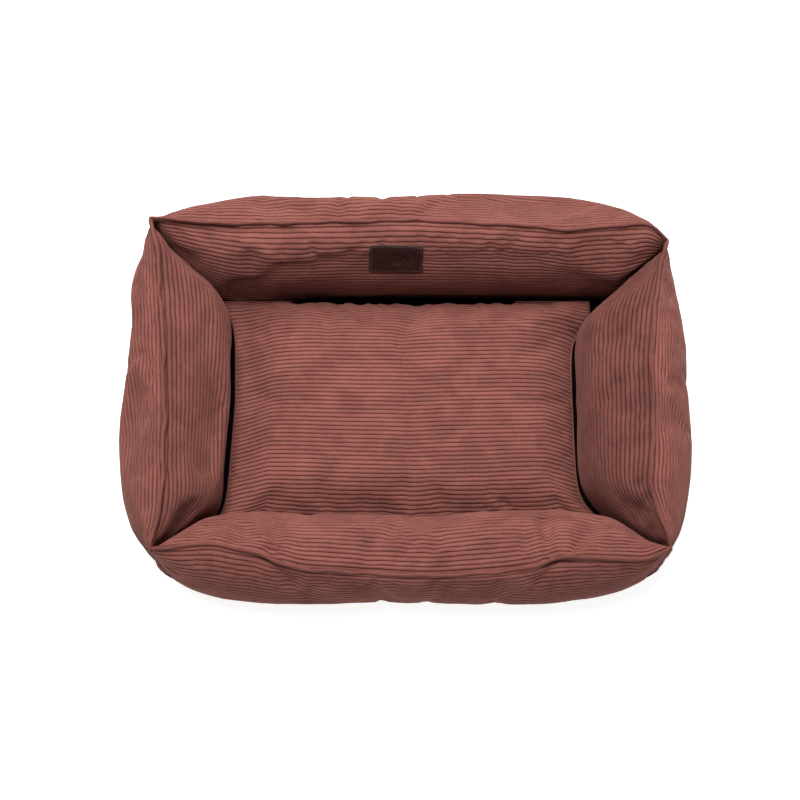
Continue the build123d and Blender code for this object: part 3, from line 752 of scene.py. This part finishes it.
class Patch:
    """The leather patch on the inner face of the back wall, as a smooth surface over the ribs."""

    def __init__(self, wall, base):
        low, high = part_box("leather_patch")
        self.half_x = (high[0] - low[0]) / 2
        self.half_y = np.hypot(high[2] - low[2], high[1] - low[1]) / 2
        self.u = (low[0] + high[0]) / 2 - wall.tips[0][0]
        self.v = PATCH_ARC + self.half_y
        rows, columns = base.shape[:2]
        middle = base[:, columns // 2]
        run = run_along(middle)
        reach, across, up = PATCH_FIT
        a, b = np.meshgrid(np.linspace(-reach, reach, across), np.linspace(-reach, reach, up))
        row = np.interp((self.v - b * self.half_y).ravel(), run, np.arange(rows))
        column = (self.u + a * self.half_x).ravel() / wall.length * (columns - 1)
        points = base[row.round().astype(int), column.round().astype(int)]
        self.fit = np.linalg.lstsq(self.terms(a.ravel(), b.ravel()), points, rcond=None)[0]

    @staticmethod
    def terms(a, b):
        return np.stack([np.ones_like(a), a, b, a * b, a**2, b**2, a**2 * b, b**3, b**4], axis=-1)

    def at(self, a, b, lift):
        """Points of the patch: a to the right, b up it, both in metres from its middle."""
        turned_a = a * math.cos(PATCH_TILT) + b * math.sin(PATCH_TILT)
        turned_b = b * math.cos(PATCH_TILT) - a * math.sin(PATCH_TILT)
        a, b = turned_a / self.half_x, turned_b / self.half_y
        points = self.terms(a, b) @ self.fit
        tiny = 0.01
        along = self.terms(a + tiny, b) @ self.fit - points
        upward = self.terms(a, b + tiny) @ self.fit - points
        normal = unit(np.cross(along, upward))
        normal = normal * np.where(normal[..., 1:2] > 0, -1, 1)
        return points + normal * lift[..., None]

    def covers(self, u, v):
        """1 under the patch, falling to 0 just outside it."""
        inside = edge_distance(u - self.u, v - self.v, self.half_x, self.half_y, PATCH_ROUND)
        return ease((inside + PATCH_FADE) / PATCH_FADE)

    def leather(self, material):
        a, b = np.meshgrid(
            np.arange(-self.half_x, self.half_x + PATCH_STEP / 2, PATCH_STEP),
            np.arange(-self.half_y, self.half_y + PATCH_STEP / 2, PATCH_STEP),
        )
        a, b = rounded(a, b, self.half_x, self.half_y, PATCH_ROUND)
        inside = np.maximum(edge_distance(a, b, self.half_x, self.half_y, PATCH_ROUND), 0)
        turn = np.clip(inside / PATCH_EDGE, 0, 1)
        lift = PATCH_LIFT * np.sqrt(1 - (1 - turn) ** 2)
        groove = np.exp(-(((inside - STITCH_INSET) / GROOVE_HALF) ** 2))
        lift = lift - GROOVE_DEPTH * groove - paw_depth(a, b)
        lift = lift + HIDE_LUMP * noise(a / HIDE_LUMP_SIZE, b / HIDE_LUMP_SIZE, HIDE_SEED)
        lift[[0, -1]] = lift[:, [0, -1]] = -PATCH_TUCK
        uv = np.stack([a, b], axis=-1)
        return new_mesh("leather_patch_hide", self.at(a, b, lift), grid_faces(*a.shape), uv, material)

    def stitches(self, material):
        """A running stitch round the patch: a short capsule for each stitch."""
        half_x, half_y = self.half_x - STITCH_INSET, self.half_y - STITCH_INSET
        points, faces = [], []
        for start, step, length in (
            ((-half_x, -half_y), (1, 0), 2 * half_x),
            ((half_x, -half_y), (0, 1), 2 * half_y),
            ((half_x, half_y), (-1, 0), 2 * half_x),
            ((-half_x, half_y), (0, -1), 2 * half_y),
        ):
            count = round(length / (STITCH_LENGTH + STITCH_GAP))
            for i in range(count):
                middle = np.array(start) + np.array(step) * length * (i + 0.5) / count
                self.stitch(points, faces, middle, np.array(step))
        points, faces = np.concatenate(points), np.concatenate(faces)
        return new_mesh("patch_stitches_thread", points, faces, material=material)

    def stitch(self, points, faces, middle, step):
        """Adds one stitch: a thread that dips into the leather at both ends."""
        along = np.linspace(-1, 1, STITCH_RINGS)
        swell = np.sqrt(np.maximum(1 - np.abs(along) ** 4, 0.02))
        turn = np.linspace(0, 2 * math.pi, STITCH_ROUND, endpoint=False)
        across = STITCH_RADIUS * swell[:, None] * np.cos(turn)
        lift = PATCH_LIFT - STITCH_SUNK + STITCH_RADIUS * swell[:, None] * np.sin(turn)
        lift = lift - STITCH_DIP * along[:, None] ** 2
        a = middle[0] + step[0] * along[:, None] * STITCH_LENGTH / 2 - step[1] * across
        b = middle[1] + step[1] * along[:, None] * STITCH_LENGTH / 2 + step[0] * across
        start = sum(len(p) for p in points)
        grid = self.at(a, b, lift).transpose(1, 0, 2)
        points.append(grid.reshape(-1, 3))
        faces.append(grid_faces(STITCH_ROUND, STITCH_RINGS, start=start, closed=True))


# ---- the seat's own shape ----
SEAT_EDGE_HALF, SEAT_EDGE_HEIGHT, SEAT_EDGE_SUNK = 3.2 * MM, 2.2 * MM, 1.0 * MM
SEAT_EDGE_VARIES, SEAT_EDGE_SEED = 0.12, 91
ZIP_FLOOR_GAP = 0.5 * MM            # between the fold's floor and the zip's tapes
ZIP_LIP = 7.6 * MM                  # half the height of the fold's floor
ZIP_LIP_TURN, ZIP_END_TURN = 2.2 * MM, 4.0 * MM
ZIP_ROOM = 13.0 * MM                # the fold runs on this far past the tapes, for the pull
# Where the stuffing has gone thin: x, y, half width, half depth, and the share of its height that is lost.
SINKS = (
    (-0.270, -0.01, 0.070, 0.240, 0.95),
    (0.000, -0.190, 0.280, 0.034, 0.30),
    (-0.250, 0.130, 0.050, 0.050, 0.45),
    (-0.060, 0.010, 0.110, 0.080, 0.06),
    (0.262, -0.02, 0.026, 0.180, 0.35),
)


def sink(grid, seam):
    """Lets the seat's top down towards its seam where its stuffing is thin."""
    x, y, z = np.moveaxis(grid, -1, 0)
    for sx, sy, half_x, half_y, share in SINKS:
        z = z - share * (z - seam) * np.exp(-(((x - sx) / half_x) ** 2) - ((y - sy) / half_y) ** 2)
    return np.stack([x, y, z], axis=-1)


def fold_in(points, seat):
    """Tucks the seat's back edge in over the length of the zip, leaving its coils clear."""
    low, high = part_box("zip_tapes")
    x, y, z = np.moveaxis(points, -1, 0)
    inside = ease(((high[0] - low[0]) / 2 + ZIP_ROOM - np.abs(x - (low[0] + high[0]) / 2)) / ZIP_END_TURN)
    near = 1 - ease((np.abs(z - seat.middle) - ZIP_LIP) / ZIP_LIP_TURN)
    floor = low[1] - ZIP_FLOOR_GAP
    y = np.where(y > floor, y + inside * near * (floor - y), y)
    return np.stack([x, y, z], axis=-1)


def seat_rim(seat, upper):
    """The closed line where the cushion's two panels meet, from the zip's left end round to its right."""
    line = np.concatenate([upper[-1, ::-1], upper[-2:0:-1, 0], upper[0], upper[1:-1, -1]])
    low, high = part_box("zip_tapes")
    at_zip = np.abs(line[:, 0] - (low[0] + high[0]) / 2) < (high[0] - low[0]) / 2 + ZIP_ROOM - MM
    at_zip &= line[:, 1] > seat.centre_y
    start = int(np.nonzero(at_zip)[0][-1]) + 1
    line = np.roll(line, -start, axis=0)
    at_zip = np.roll(at_zip, -start)
    line = line[~at_zip]
    return evenly(line, round(run_along(line)[-1] / WELT_STEP))[1]


def seat_welt(seat, upper, material):
    """The seam round the cushion's edge, which stops at the zip."""
    path = seat_rim(seat, upper)
    along = unit(np.gradient(path, axis=0))
    side = np.tile([0.0, 0.0, 1.0], (len(path), 1))
    up = unit(np.cross(along, side))
    middle = np.array([0.0, seat.centre_y, seat.middle])
    up = up * np.where(np.sum(up * (path - middle), axis=1, keepdims=True) > 0, 1, -1)
    s = np.arange(len(path)) * WELT_STEP
    half = SEAT_EDGE_HALF * (1 + SEAT_EDGE_VARIES * waver(s, SWAY_WAVE, SEAT_EDGE_SEED))
    path = path - up * SEAT_EDGE_SUNK
    return tube("seat_edge_seam_cloth", path, side, up, half, SEAT_EDGE_HEIGHT + 0 * s, material)


# ---- the base ----
BASE_RISE, BASE_WAVE, BASE_SEED = 0.125 * MM, 40 * MM, 33       # the cloth's slack over the grip dots
BASE_RINGS = 25
BINDING_HALF, BINDING_STEP, BINDING_POINTS = 3.2 * MM, 5.0 * MM, 14
BINDING_SQUARENESS = 0.6


def ring_of_feet(walls):
    """The outline where the walls' outer panels meet the base, anticlockwise from the front left."""
    front, right, back, left = (walls[name] for name in ("front", "right", "back", "left"))
    row = IN_CELLS + FOOT_CELLS
    parts = [front[row], right[row], back[row, ::-1], left[row, ::-1]]
    return np.concatenate([part[:-1, :2] for part in parts])


def base_cloth(outline, material):
    """The woven sheet under everything: rings of points from its middle to its edge, above and below."""
    low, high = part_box("base_panel")
    middle = outline.mean(axis=0)
    shares = np.linspace(0, 1, BASE_RINGS)
    below = middle + shares[:, None, None] * (outline - middle)[None]
    thick = high[2] - low[2]
    rings = []
    for side, z in ((below, low[2]), (below[::-1], low[2] + thick)):
        rise = BASE_RISE * np.abs(noise(side[..., 0] / BASE_WAVE, side[..., 1] / BASE_WAVE, BASE_SEED))
        rings.append(np.concatenate([side, (z + rise)[..., None]], axis=-1))
    grid = np.concatenate(rings).transpose(1, 0, 2)
    faces = grid_faces(*grid.shape[:2], closed=True)
    piece = new_mesh("base_panel_cloth", grid, faces, grid[..., :2], material)
    x, y = outline.T
    area = 0.5 * abs(np.sum(x * np.roll(y, -1) - y * np.roll(x, -1)))
    return piece, area


def binding(outline, material):
    """The tape folded over the base's edge."""
    low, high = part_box("base_binding")
    line = np.concatenate([outline, outline[:1]])
    even, line = evenly(line, round(run_along(line)[-1] / BINDING_STEP) + 1)
    along = np.gradient(line, axis=0)
    along[[0, -1]] = (along[0] + along[-1]) / 2
    out = unit(np.stack([along[:, 1], -along[:, 0]], axis=-1))
    turn = np.linspace(0, 2 * math.pi, BINDING_POINTS, endpoint=False)
    half_z = (high[2] - low[2]) / 2
    wide = BINDING_HALF * np.sign(np.cos(turn)) * np.abs(np.cos(turn)) ** BINDING_SQUARENESS
    tall = half_z * np.sign(np.sin(turn)) * np.abs(np.sin(turn)) ** BINDING_SQUARENESS
    flat = line[None] + out[None] * (wide[:, None, None] - 0.2 * BINDING_HALF)
    z = np.broadcast_to(((low[2] + high[2]) / 2 + tall)[:, None, None], flat.shape[:2] + (1,))
    grid = np.concatenate([flat, z], axis=-1)
    uv = np.stack(np.broadcast_arrays(even[None, :], (turn * half_z)[:, None]), axis=-1)
    faces = grid_faces(len(turn), len(even), closed=True)
    return new_mesh("base_binding_tape", grid, faces, uv, material)


# ---- materials ----
class Paint:
    """A node material, built up call by call."""

    def __init__(self, name):
        self.material = bpy.data.materials.new(name)
        self.material.use_nodes = True
        self.tree = self.material.node_tree
        self.shader = self.tree.nodes["Principled BSDF"]

    def node(self, kind, **settings):
        made = self.tree.nodes.new("ShaderNode" + kind)
        for key, value in settings.items():
            setattr(made, key, value)
        return made

    def put(self, socket, value):
        if isinstance(value, bpy.types.NodeSocket):
            self.tree.links.new(value, socket)
        else:
            socket.default_value = value

    def math(self, operation, a, b=0.0, c=0.0):
        made = self.node("Math", operation=operation)
        for socket, value in zip(made.inputs, (a, b, c)):
            self.put(socket, value)
        return made.outputs[0]

    def add(self, a, b):
        return self.math("ADD", a, b)

    def times(self, a, b):
        return self.math("MULTIPLY", a, b)

    def linear(self, value, slope, start):
        return self.math("MULTIPLY_ADD", value, slope, start)

    def place(self):
        """Where a point is, in the piece's own terms."""
        return self.node("TexCoord").outputs["Object"]

    def cloth(self):
        """Where a point is on its panel: metres along and across the ribs."""
        return self.node("UVMap", uv_map="cloth").outputs["UV"]

    def parts(self, vector):
        made = self.node("SeparateXYZ")
        self.put(made.inputs[0], vector)
        return made.outputs

    def ramp(self, value, low, high):
        """From 0 at low to 1 at high, smoothly."""
        made = self.node("MapRange", interpolation_type="SMOOTHSTEP")
        self.put(made.inputs["Value"], value)
        made.inputs["From Min"].default_value, made.inputs["From Max"].default_value = low, high
        return made.outputs["Result"]

    def noise(self, place, scale, detail=2.0, rough=0.5, distortion=0.0):
        made = self.node("TexNoise")
        self.put(made.inputs["Vector"], place)
        made.inputs["Scale"].default_value = scale
        made.inputs["Detail"].default_value = detail
        made.inputs["Roughness"].default_value = rough
        made.inputs["Distortion"].default_value = distortion
        return made.outputs["Fac"]

    def scaled(self, place, scale):
        made = self.node("Mapping")
        self.put(made.inputs["Vector"], place)
        made.inputs["Scale"].default_value = scale
        return made.outputs["Vector"]

    def mix(self, share, a, b):
        made = self.node("Mix", data_type="RGBA")
        self.put(made.inputs["Factor"], share)
        self.put(made.inputs["A"], a)
        self.put(made.inputs["B"], b)
        return made.outputs["Result"]

    def bright(self, colour, by):
        """A colour made lighter or darker by a factor."""
        made = self.node("VectorMath", operation="SCALE")
        self.put(made.inputs[0], colour)
        self.put(made.inputs["Scale"], by)
        return made.outputs["Vector"]

    def bump(self, height, distance, strength=1.0):
        made = self.node("Bump")
        self.put(made.inputs["Height"], height)
        made.inputs["Distance"].default_value = distance
        made.inputs["Strength"].default_value = strength
        self.put(self.shader.inputs["Normal"], made.outputs["Normal"])

    def finish(
        self, colour, roughness, sheen=0.0, sheen_tint=(1, 1, 1, 1), metallic=0.0, specular=0.5, coat=0.0
    ):
        self.put(self.shader.inputs["Base Color"], colour)
        self.put(self.shader.inputs["Roughness"], roughness)
        self.shader.inputs["Sheen Weight"].default_value = sheen
        self.shader.inputs["Sheen Roughness"].default_value = 0.45
        self.shader.inputs["Sheen Tint"].default_value = sheen_tint
        self.shader.inputs["Metallic"].default_value = metallic
        self.shader.inputs["Specular IOR Level"].default_value = specular
        self.shader.inputs["Coat Weight"].default_value = coat
        return self.material


# The pile's colours: a painted highlight along the crests of the ribs, painted shade down their sides and in
# the grooves between them.
LIT_CREST = (0.202, 0.071, 0.058, 1)
SHADED_FLANK = (0.154, 0.052, 0.042, 1)
SHADED_GROOVE = (0.055, 0.014, 0.011, 1)
# How bright the pile of each panel looks: partly the way its pile lies, partly painted light and shade that
# evens out how the lamps fall on the side walls.
NAPS_AND_PAINTED_LIGHT = {"left_inner": 0.84, "right_inner": 0.74, "left_outer": 0.93, "right_outer": 1.06}
PILE_TINT = (1.0, 0.50, 0.42, 1)


def corduroy_cloth(name, lit_crest=LIT_CREST, shaded_flank=SHADED_FLANK, groove=SHADED_GROOVE, nap_and_shade=1.0):
    """Ribs of cut pile, with a painted highlight on their crests and painted shade on their sides and in the
    grooves between them. The last argument is how bright the pile looks: partly the way its pile lies,
    partly painted light and shade.
    """
    paint = Paint(name)
    uv = paint.cloth()
    v = paint.parts(uv)["Y"]
    place = paint.place()
    wander = paint.noise(place, 90.0, 1.0)
    rib = paint.times(v, 1 / RIB_PITCH)
    rib = paint.add(rib, paint.linear(wander, 0.16, -0.08))
    across = paint.math("ABSOLUTE", paint.math("SUBTRACT", paint.math("FRACT", rib), 0.5))
    tufts = paint.noise(paint.scaled(uv, (1.0, 0.45, 1.0)), 1500.0, 2.0)
    pile = paint.noise(place, 620.0, 3.0, 0.65)
    edge = paint.add(across, paint.linear(tufts, 0.10, -0.05))
    # Painted highlight on the crests, painted shade on the sides of the ribs and in the grooves, over the
    # ribs' real relief.
    colour = paint.mix(paint.ramp(edge, 0.16, 0.38), lit_crest, shaded_flank)
    colour = paint.mix(paint.ramp(edge, 0.38, 0.49), colour, groove)
    # Broad and smaller blotches of lighter and darker pile: partly uneven tone, partly painted light and
    # shade of the pile's direction and of wrinkles.
    crushed_pile_and_shade = paint.noise(paint.scaled(uv, (1.0, 1.6, 1.0)), 16.0, 3.0, 0.55, 0.8)
    brushed_pile_and_shade = paint.noise(place, 60.0, 2.0, 0.6, 0.6)
    # Scaled by the panel's brightness, which is partly the lie of its pile and partly painted light and
    # shade.
    by = paint.linear(paint.ramp(crushed_pile_and_shade, 0.30, 0.70), 0.26 * nap_and_shade, nap_and_shade - 0.25)
    by = paint.add(by, paint.linear(brushed_pile_and_shade, 0.30, -0.15))
    by = paint.add(by, paint.linear(pile, 0.30, -0.13))
    colour = paint.bright(colour, by)
    height = paint.add(paint.times(pile, 0.7), paint.times(tufts, 0.5))
    paint.bump(height, 0.5 * MM, 0.6)
    rough = paint.linear(pile, 0.10, 0.86)
    return paint.finish(colour, rough, sheen=0.16, sheen_tint=PILE_TINT, specular=0.10)


def leather_hide():
    """Smooth dark leather, fine grained, shinier where it has been rubbed."""
    paint = Paint("patch_leather")
    place = paint.cloth()
    cells = paint.node("TexVoronoi", feature="F1")
    paint.put(cells.inputs["Vector"], place)
    cells.inputs["Scale"].default_value = 1300.0
    grain = cells.outputs["Distance"]
    cloud = paint.noise(place, 70.0, 3.0, 0.6)
    colour = paint.mix(paint.ramp(cloud, 0.30, 0.72), (0.016, 0.0052, 0.0050, 1), (0.032, 0.011, 0.0105, 1))
    colour = paint.bright(colour, paint.linear(grain, 0.5, 0.8))
    paint.bump(paint.add(grain, paint.times(cloud, 0.8)), 0.22 * MM, 0.45)
    rough = paint.linear(cloud, 0.22, 0.38)
    return paint.finish(colour, rough, specular=0.22, coat=0.02)


def spun_thread(name, dark, light):
    """Twisted sewing thread."""
    paint = Paint(name)
    place = paint.place()
    twist = paint.node("TexWave", wave_type="BANDS", bands_direction="DIAGONAL")
    paint.put(twist.inputs["Vector"], place)
    twist.inputs["Scale"].default_value = 700.0
    fuzz = paint.noise(place, 2500.0, 2.0)
    share = paint.add(paint.times(twist.outputs["Fac"], 0.6), paint.times(fuzz, 0.4))
    paint.bump(share, 0.15 * MM, 0.7)
    return paint.finish(paint.mix(share, dark, light), 0.62, sheen=0.2)


# Plain weaves: the darkest and lightest threads, their spacing, how proud they stand, and their sheen.
WEAVES = {
    # The base canvas is near black: partly the cloth's own black, partly painted shade, so that where it
    # shows in the gaps beside the cushion it reads as a deep shadowed crevice.
    "base_canvas": ((0.002, 0.0015, 0.0015, 1), (0.007, 0.005, 0.005, 1), 1.1 * MM, 0.3 * MM, 0.0),
    "binding_weave": ((0.070, 0.026, 0.022, 1), (0.160, 0.062, 0.052, 1), 0.8 * MM, 0.2 * MM, 0.15),
    "zip_weave": ((0.055, 0.020, 0.018, 1), (0.130, 0.050, 0.043, 1), 0.6 * MM, 0.15 * MM, 0.15),
}


def woven(name):
    """Threads over and under each other, in object space."""
    dark, light, pitch, bump, sheen = WEAVES[name]
    paint = Paint(name)
    place = paint.place()
    parts = paint.parts(place)
    turns = math.pi / pitch
    threads = []
    for axis, other in (("X", "Y"), ("Y", "X")):
        swell = paint.math("ABSOLUTE", paint.math("SINE", paint.times(parts[axis], turns)))
        over = paint.math("SINE", paint.times(parts[other], turns))
        threads.append(paint.times(swell, paint.linear(over, 0.35, 0.65)))
    weave = paint.math("MAXIMUM", threads[0], threads[1])
    cloud = paint.noise(place, 45.0, 3.0, 0.6)
    fuzz = paint.noise(place, 900.0, 2.0)
    share = paint.add(paint.times(weave, 0.7), paint.times(fuzz, 0.3))
    colour = paint.mix(share, dark, light)
    colour = paint.bright(colour, paint.linear(cloud, 0.3, 0.85))
    paint.bump(share, bump, 0.8)
    return paint.finish(colour, paint.linear(fuzz, 0.12, 0.80), sheen=sheen, specular=0.06)


def grip_rubber():
    """Matt rubber print, faintly pitted, dusty in patches."""
    paint = Paint("grip_rubber")
    place = paint.place()
    pits = paint.noise(place, 1100.0, 3.0, 0.6)
    dust = paint.noise(place, 60.0, 3.0, 0.6)
    colour = paint.mix(paint.ramp(dust, 0.45, 0.75), (0.016, 0.014, 0.014, 1), (0.060, 0.052, 0.048, 1))
    paint.bump(pits, 0.15 * MM, 0.6)
    return paint.finish(colour, paint.linear(pits, 0.2, 0.55), specular=0.4)


def coil_nylon():
    """Dyed nylon filament, a little uneven in tone."""
    paint = Paint("zip_nylon")
    place = paint.place()
    tone = paint.noise(place, 300.0, 2.0)
    colour = paint.mix(tone, (0.060, 0.020, 0.018, 1), (0.120, 0.045, 0.038, 1))
    paint.bump(tone, 0.1 * MM, 0.4)
    return paint.finish(colour, paint.linear(tone, 0.15, 0.32), specular=0.5)


def zip_nickel():
    """Dull plated metal, finely scratched, darker where it is worn."""
    paint = Paint("zip_nickel")
    place = paint.place()
    scratches = paint.noise(paint.scaled(place, (1.0, 8.0, 1.0)), 700.0, 3.0, 0.7)
    wear = paint.noise(place, 160.0, 3.0, 0.6)
    colour = paint.mix(paint.ramp(wear, 0.4, 0.7), (0.46, 0.43, 0.40, 1), (0.30, 0.27, 0.25, 1))
    paint.bump(scratches, 0.04 * MM, 0.5)
    return paint.finish(colour, paint.linear(scratches, 0.22, 0.22), metallic=1.0)


# ---- camera, lights and floor ----
TARGET = (-0.0055, -0.0185, 0.090)
ELEVATION, DISTANCE, LENS = math.radians(70.0), 2.0, 63.9


def aim(thing, place, target):
    thing.location = place
    direction = mathutils.Vector(target) - mathutils.Vector(place)
    thing.rotation_mode = "QUATERNION"
    thing.rotation_quaternion = direction.to_track_quat("-Z", "Y")
    bpy.context.scene.collection.objects.link(thing)
    return thing


def add_camera():
    lens = bpy.data.cameras.new("camera")
    lens.lens = LENS
    back = (0.0, -math.cos(ELEVATION) * DISTANCE, math.sin(ELEVATION) * DISTANCE)
    place = tuple(t + b for t, b in zip(TARGET, back))
    bpy.context.scene.camera = aim(bpy.data.objects.new("camera", lens), place, TARGET)


# Soft boxes: name, place, size, watts.
LIGHTS = (
    ("key_light", (-0.05, 1.30, 2.55), 1.9, 94.0),
    ("top_light", (-0.40, 0.20, 2.75), 1.0, 62.0),
    ("fill_light", (0.60, -2.20, 1.50), 1.8, 1.5),
)
LIT_SPOT = (0.0, 0.0, 0.05)
SKY = 0.24
FLOOR_HALF = 6.0
FLOOR_GLOW = 0.85                   # a light table under the bed


def add_lights():
    for name, place, size, watts in LIGHTS:
        lamp = bpy.data.lights.new(name, "AREA")
        lamp.size, lamp.energy = size, watts
        aim(bpy.data.objects.new(name, lamp), place, LIT_SPOT)
    sky = bpy.data.worlds.new("studio")
    sky.use_nodes = True
    sky.node_tree.nodes["Background"].inputs["Color"].default_value = (1, 1, 1, 1)
    sky.node_tree.nodes["Background"].inputs["Strength"].default_value = SKY
    bpy.context.scene.world = sky
    bpy.context.scene.view_settings.view_transform = "Standard"


def add_floor():
    paint = Paint("studio_floor")
    place = paint.place()
    tone = paint.noise(place, 2.0, 2.0)
    colour = paint.mix(tone, (0.48, 0.48, 0.48, 1), (0.52, 0.52, 0.52, 1))
    paint.finish(colour, 0.9, specular=0.1)
    paint.shader.inputs["Emission Color"].default_value = (1, 1, 1, 1)
    paint.shader.inputs["Emission Strength"].default_value = FLOOR_GLOW
    half = FLOOR_HALF
    corners = [(-half, -half, 0), (half, -half, 0), (half, half, 0), (-half, half, 0)]
    new_mesh("floor", corners, [(0, 1, 2, 3)], material=paint.material)


# ---- putting it together ----
SEAT_SEEDS = {"top": 50, "bottom": 60}
OUTER_SEED, CORNER_SEED = 10, 21


def stand_for(piece, body, slot, *nodes):
    """Fixes a piece to a body and lets it stand for nodes of the frame."""
    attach(piece, body)
    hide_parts(*nodes)
    return piece


def wall_panel(wall, side, ribbed, uv, material, shift, *more):
    """A panel of a wall. It stands for the frame's own panel and for more nodes."""
    piece = panel_piece(f"{wall.name}_{side}_cloth", wall.on_base(ribbed), uv, material, shift)
    stand_for(piece, "bed", "corduroy", f"{wall.name}_{side}_panel", *more)


def build_wall(wall, grid, cloths, welt, seed):
    """A wall's inner and outer panels and its rim seam. Returns the wall's patch, on the back wall."""
    inner = grid[: IN_CELLS + 1]
    outer = np.concatenate([grid[:1], grid[: IN_CELLS - 1 : -1]])
    creases = [CREASES.get((wall.name, side), ()) for side in ("inner", "outer")]
    has_patch = wall.name == "back"
    calm = PATCH_CALM if has_patch else None
    base, normal, ribbed, uv = corduroy(inner, wall.length, seed, creases[0], calm=calm)
    patch = Patch(wall, base) if has_patch else None
    if patch:
        ribbed = ribbed - normal * (UNDER_PATCH * patch.covers(uv[..., 0], uv[..., 1]))[..., None]
    wall_panel(wall, "inner", ribbed, uv, cloths[0], seed)
    *_, ribbed, uv = corduroy(outer, wall.length, seed + OUTER_SEED, creases[1])
    wall_panel(wall, "outer", ribbed, uv, cloths[1], seed + 0.5, f"{wall.name}_stuffing")
    stand_for(rim_welt(wall, grid, welt, seed), "bed", "seam_welt", f"{wall.name}_rim_seam")
    return patch


def build_seat(seat, grids, cloth, welt):
    """The cushion's two panels and its edge seam, from its inflated grids."""
    upper, lower = grids
    lower[[0, -1]], lower[:, [0, -1]] = upper[[0, -1]], upper[:, [0, -1]]
    upper, lower = seat.settle_in(sink(upper, seat.middle)), seat.settle_in(lower)
    for side, grid in (("top", upper), ("bottom", lower)):
        seed = SEAT_SEEDS[side]
        *_, ribbed, uv = corduroy(grid, 2 * seat.half_x, seed, both_sewn=True)
        piece = panel_piece(f"seat_{side}_cloth", fold_in(ribbed, seat), uv, cloth, seed)
        stuffing = ["seat_stuffing"] if side == "top" else []
        stand_for(piece, "seat_cushion", "corduroy", f"seat_{side}_panel", *stuffing)
    stand_for(seat_welt(seat, upper, welt), "seat_cushion", "seam_welt", "seat_edge_seam")


def build_base(outline):
    """The sheet under the bed and the tape round its edge."""
    sheet, area = base_cloth(outline, woven("base_canvas"))
    stand_for(sheet, "bed", "base_cloth", "base_panel")
    stand_for(binding(outline, woven("binding_weave")), "bed", "binding_tape", "base_binding")


def dress_nodes(finishes):
    """Gives the frame's own pieces that stay in sight their materials."""
    for node, material in finishes.items():
        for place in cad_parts[node].material_slots:
            place.material = material


SIDES = (
    ("back", (0, 1), ("back_left", "back_right")),
    ("front", (0, -1), ("front_left", "front_right")),
    ("left", (-1, 0), ("front_left", "back_left")),
    ("right", (1, 0), ("front_right", "back_right")),
)


def build():
    cloth = corduroy_cloth("corduroy_pile")
    # Lighter and darker copies of the pile for the side walls' panels: partly the lie of the pile, partly
    # painted light and shade.
    nap_and_shade_cloths = {panel: corduroy_cloth(f"corduroy_{panel}", nap_and_shade=nap_and_shade) for panel, nap_and_shade in NAPS_AND_PAINTED_LIGHT.items()}
    # The welt's cloth: the rib sides' shaded colour on its crests too, and a lighter painted shade in its
    # grooves.
    welt = corduroy_cloth("seam_corduroy", lit_crest=SHADED_FLANK, shaded_flank=SHADED_FLANK, groove=(0.10, 0.032, 0.026, 1))
    walls = [Wall(*side) for side in SIDES]
    seat = Seat(walls)
    inflated = inflate([wall_shape(wall) for wall in walls] + [seat_shape(seat)])
    settled = {wall.name: wall.settle_in(grids[0]) for wall, grids in zip(walls, inflated)}
    for seed, wall in enumerate(walls, 1):
        cloths = [nap_and_shade_cloths.get(f"{wall.name}_{side}", cloth) for side in ("inner", "outer")]
        patch = build_wall(wall, settled[wall.name], cloths, welt, seed)
        if patch:
            thread = spun_thread("patch_thread", (0.030, 0.012, 0.011, 1), (0.085, 0.040, 0.034, 1))
            stand_for(patch.leather(leather_hide()), "bed", "leather", "leather_patch")
            stand_for(patch.stitches(thread), "bed", "thread", "patch_stitches")
    for seed, name in enumerate(TIP_SHIFTS, CORNER_SEED):
        stand_for(corner_welt(name, welt, seed), "bed", "seam_welt", f"{name}_corner_seam")
    build_seat(seat, inflated[-1], cloth, welt)
    build_base(ring_of_feet(settled))
    zip_weave = woven("zip_weave")
    nickel = zip_nickel()
    dress_nodes({
        "grip_dots": grip_rubber(), "zip_tapes": zip_weave, "zip_coils": coil_nylon(),
        "zip_stops": nickel, "zip_slider": nickel, "zip_pull": nickel,
    })


build()
add_camera()
add_lights()
add_floor()
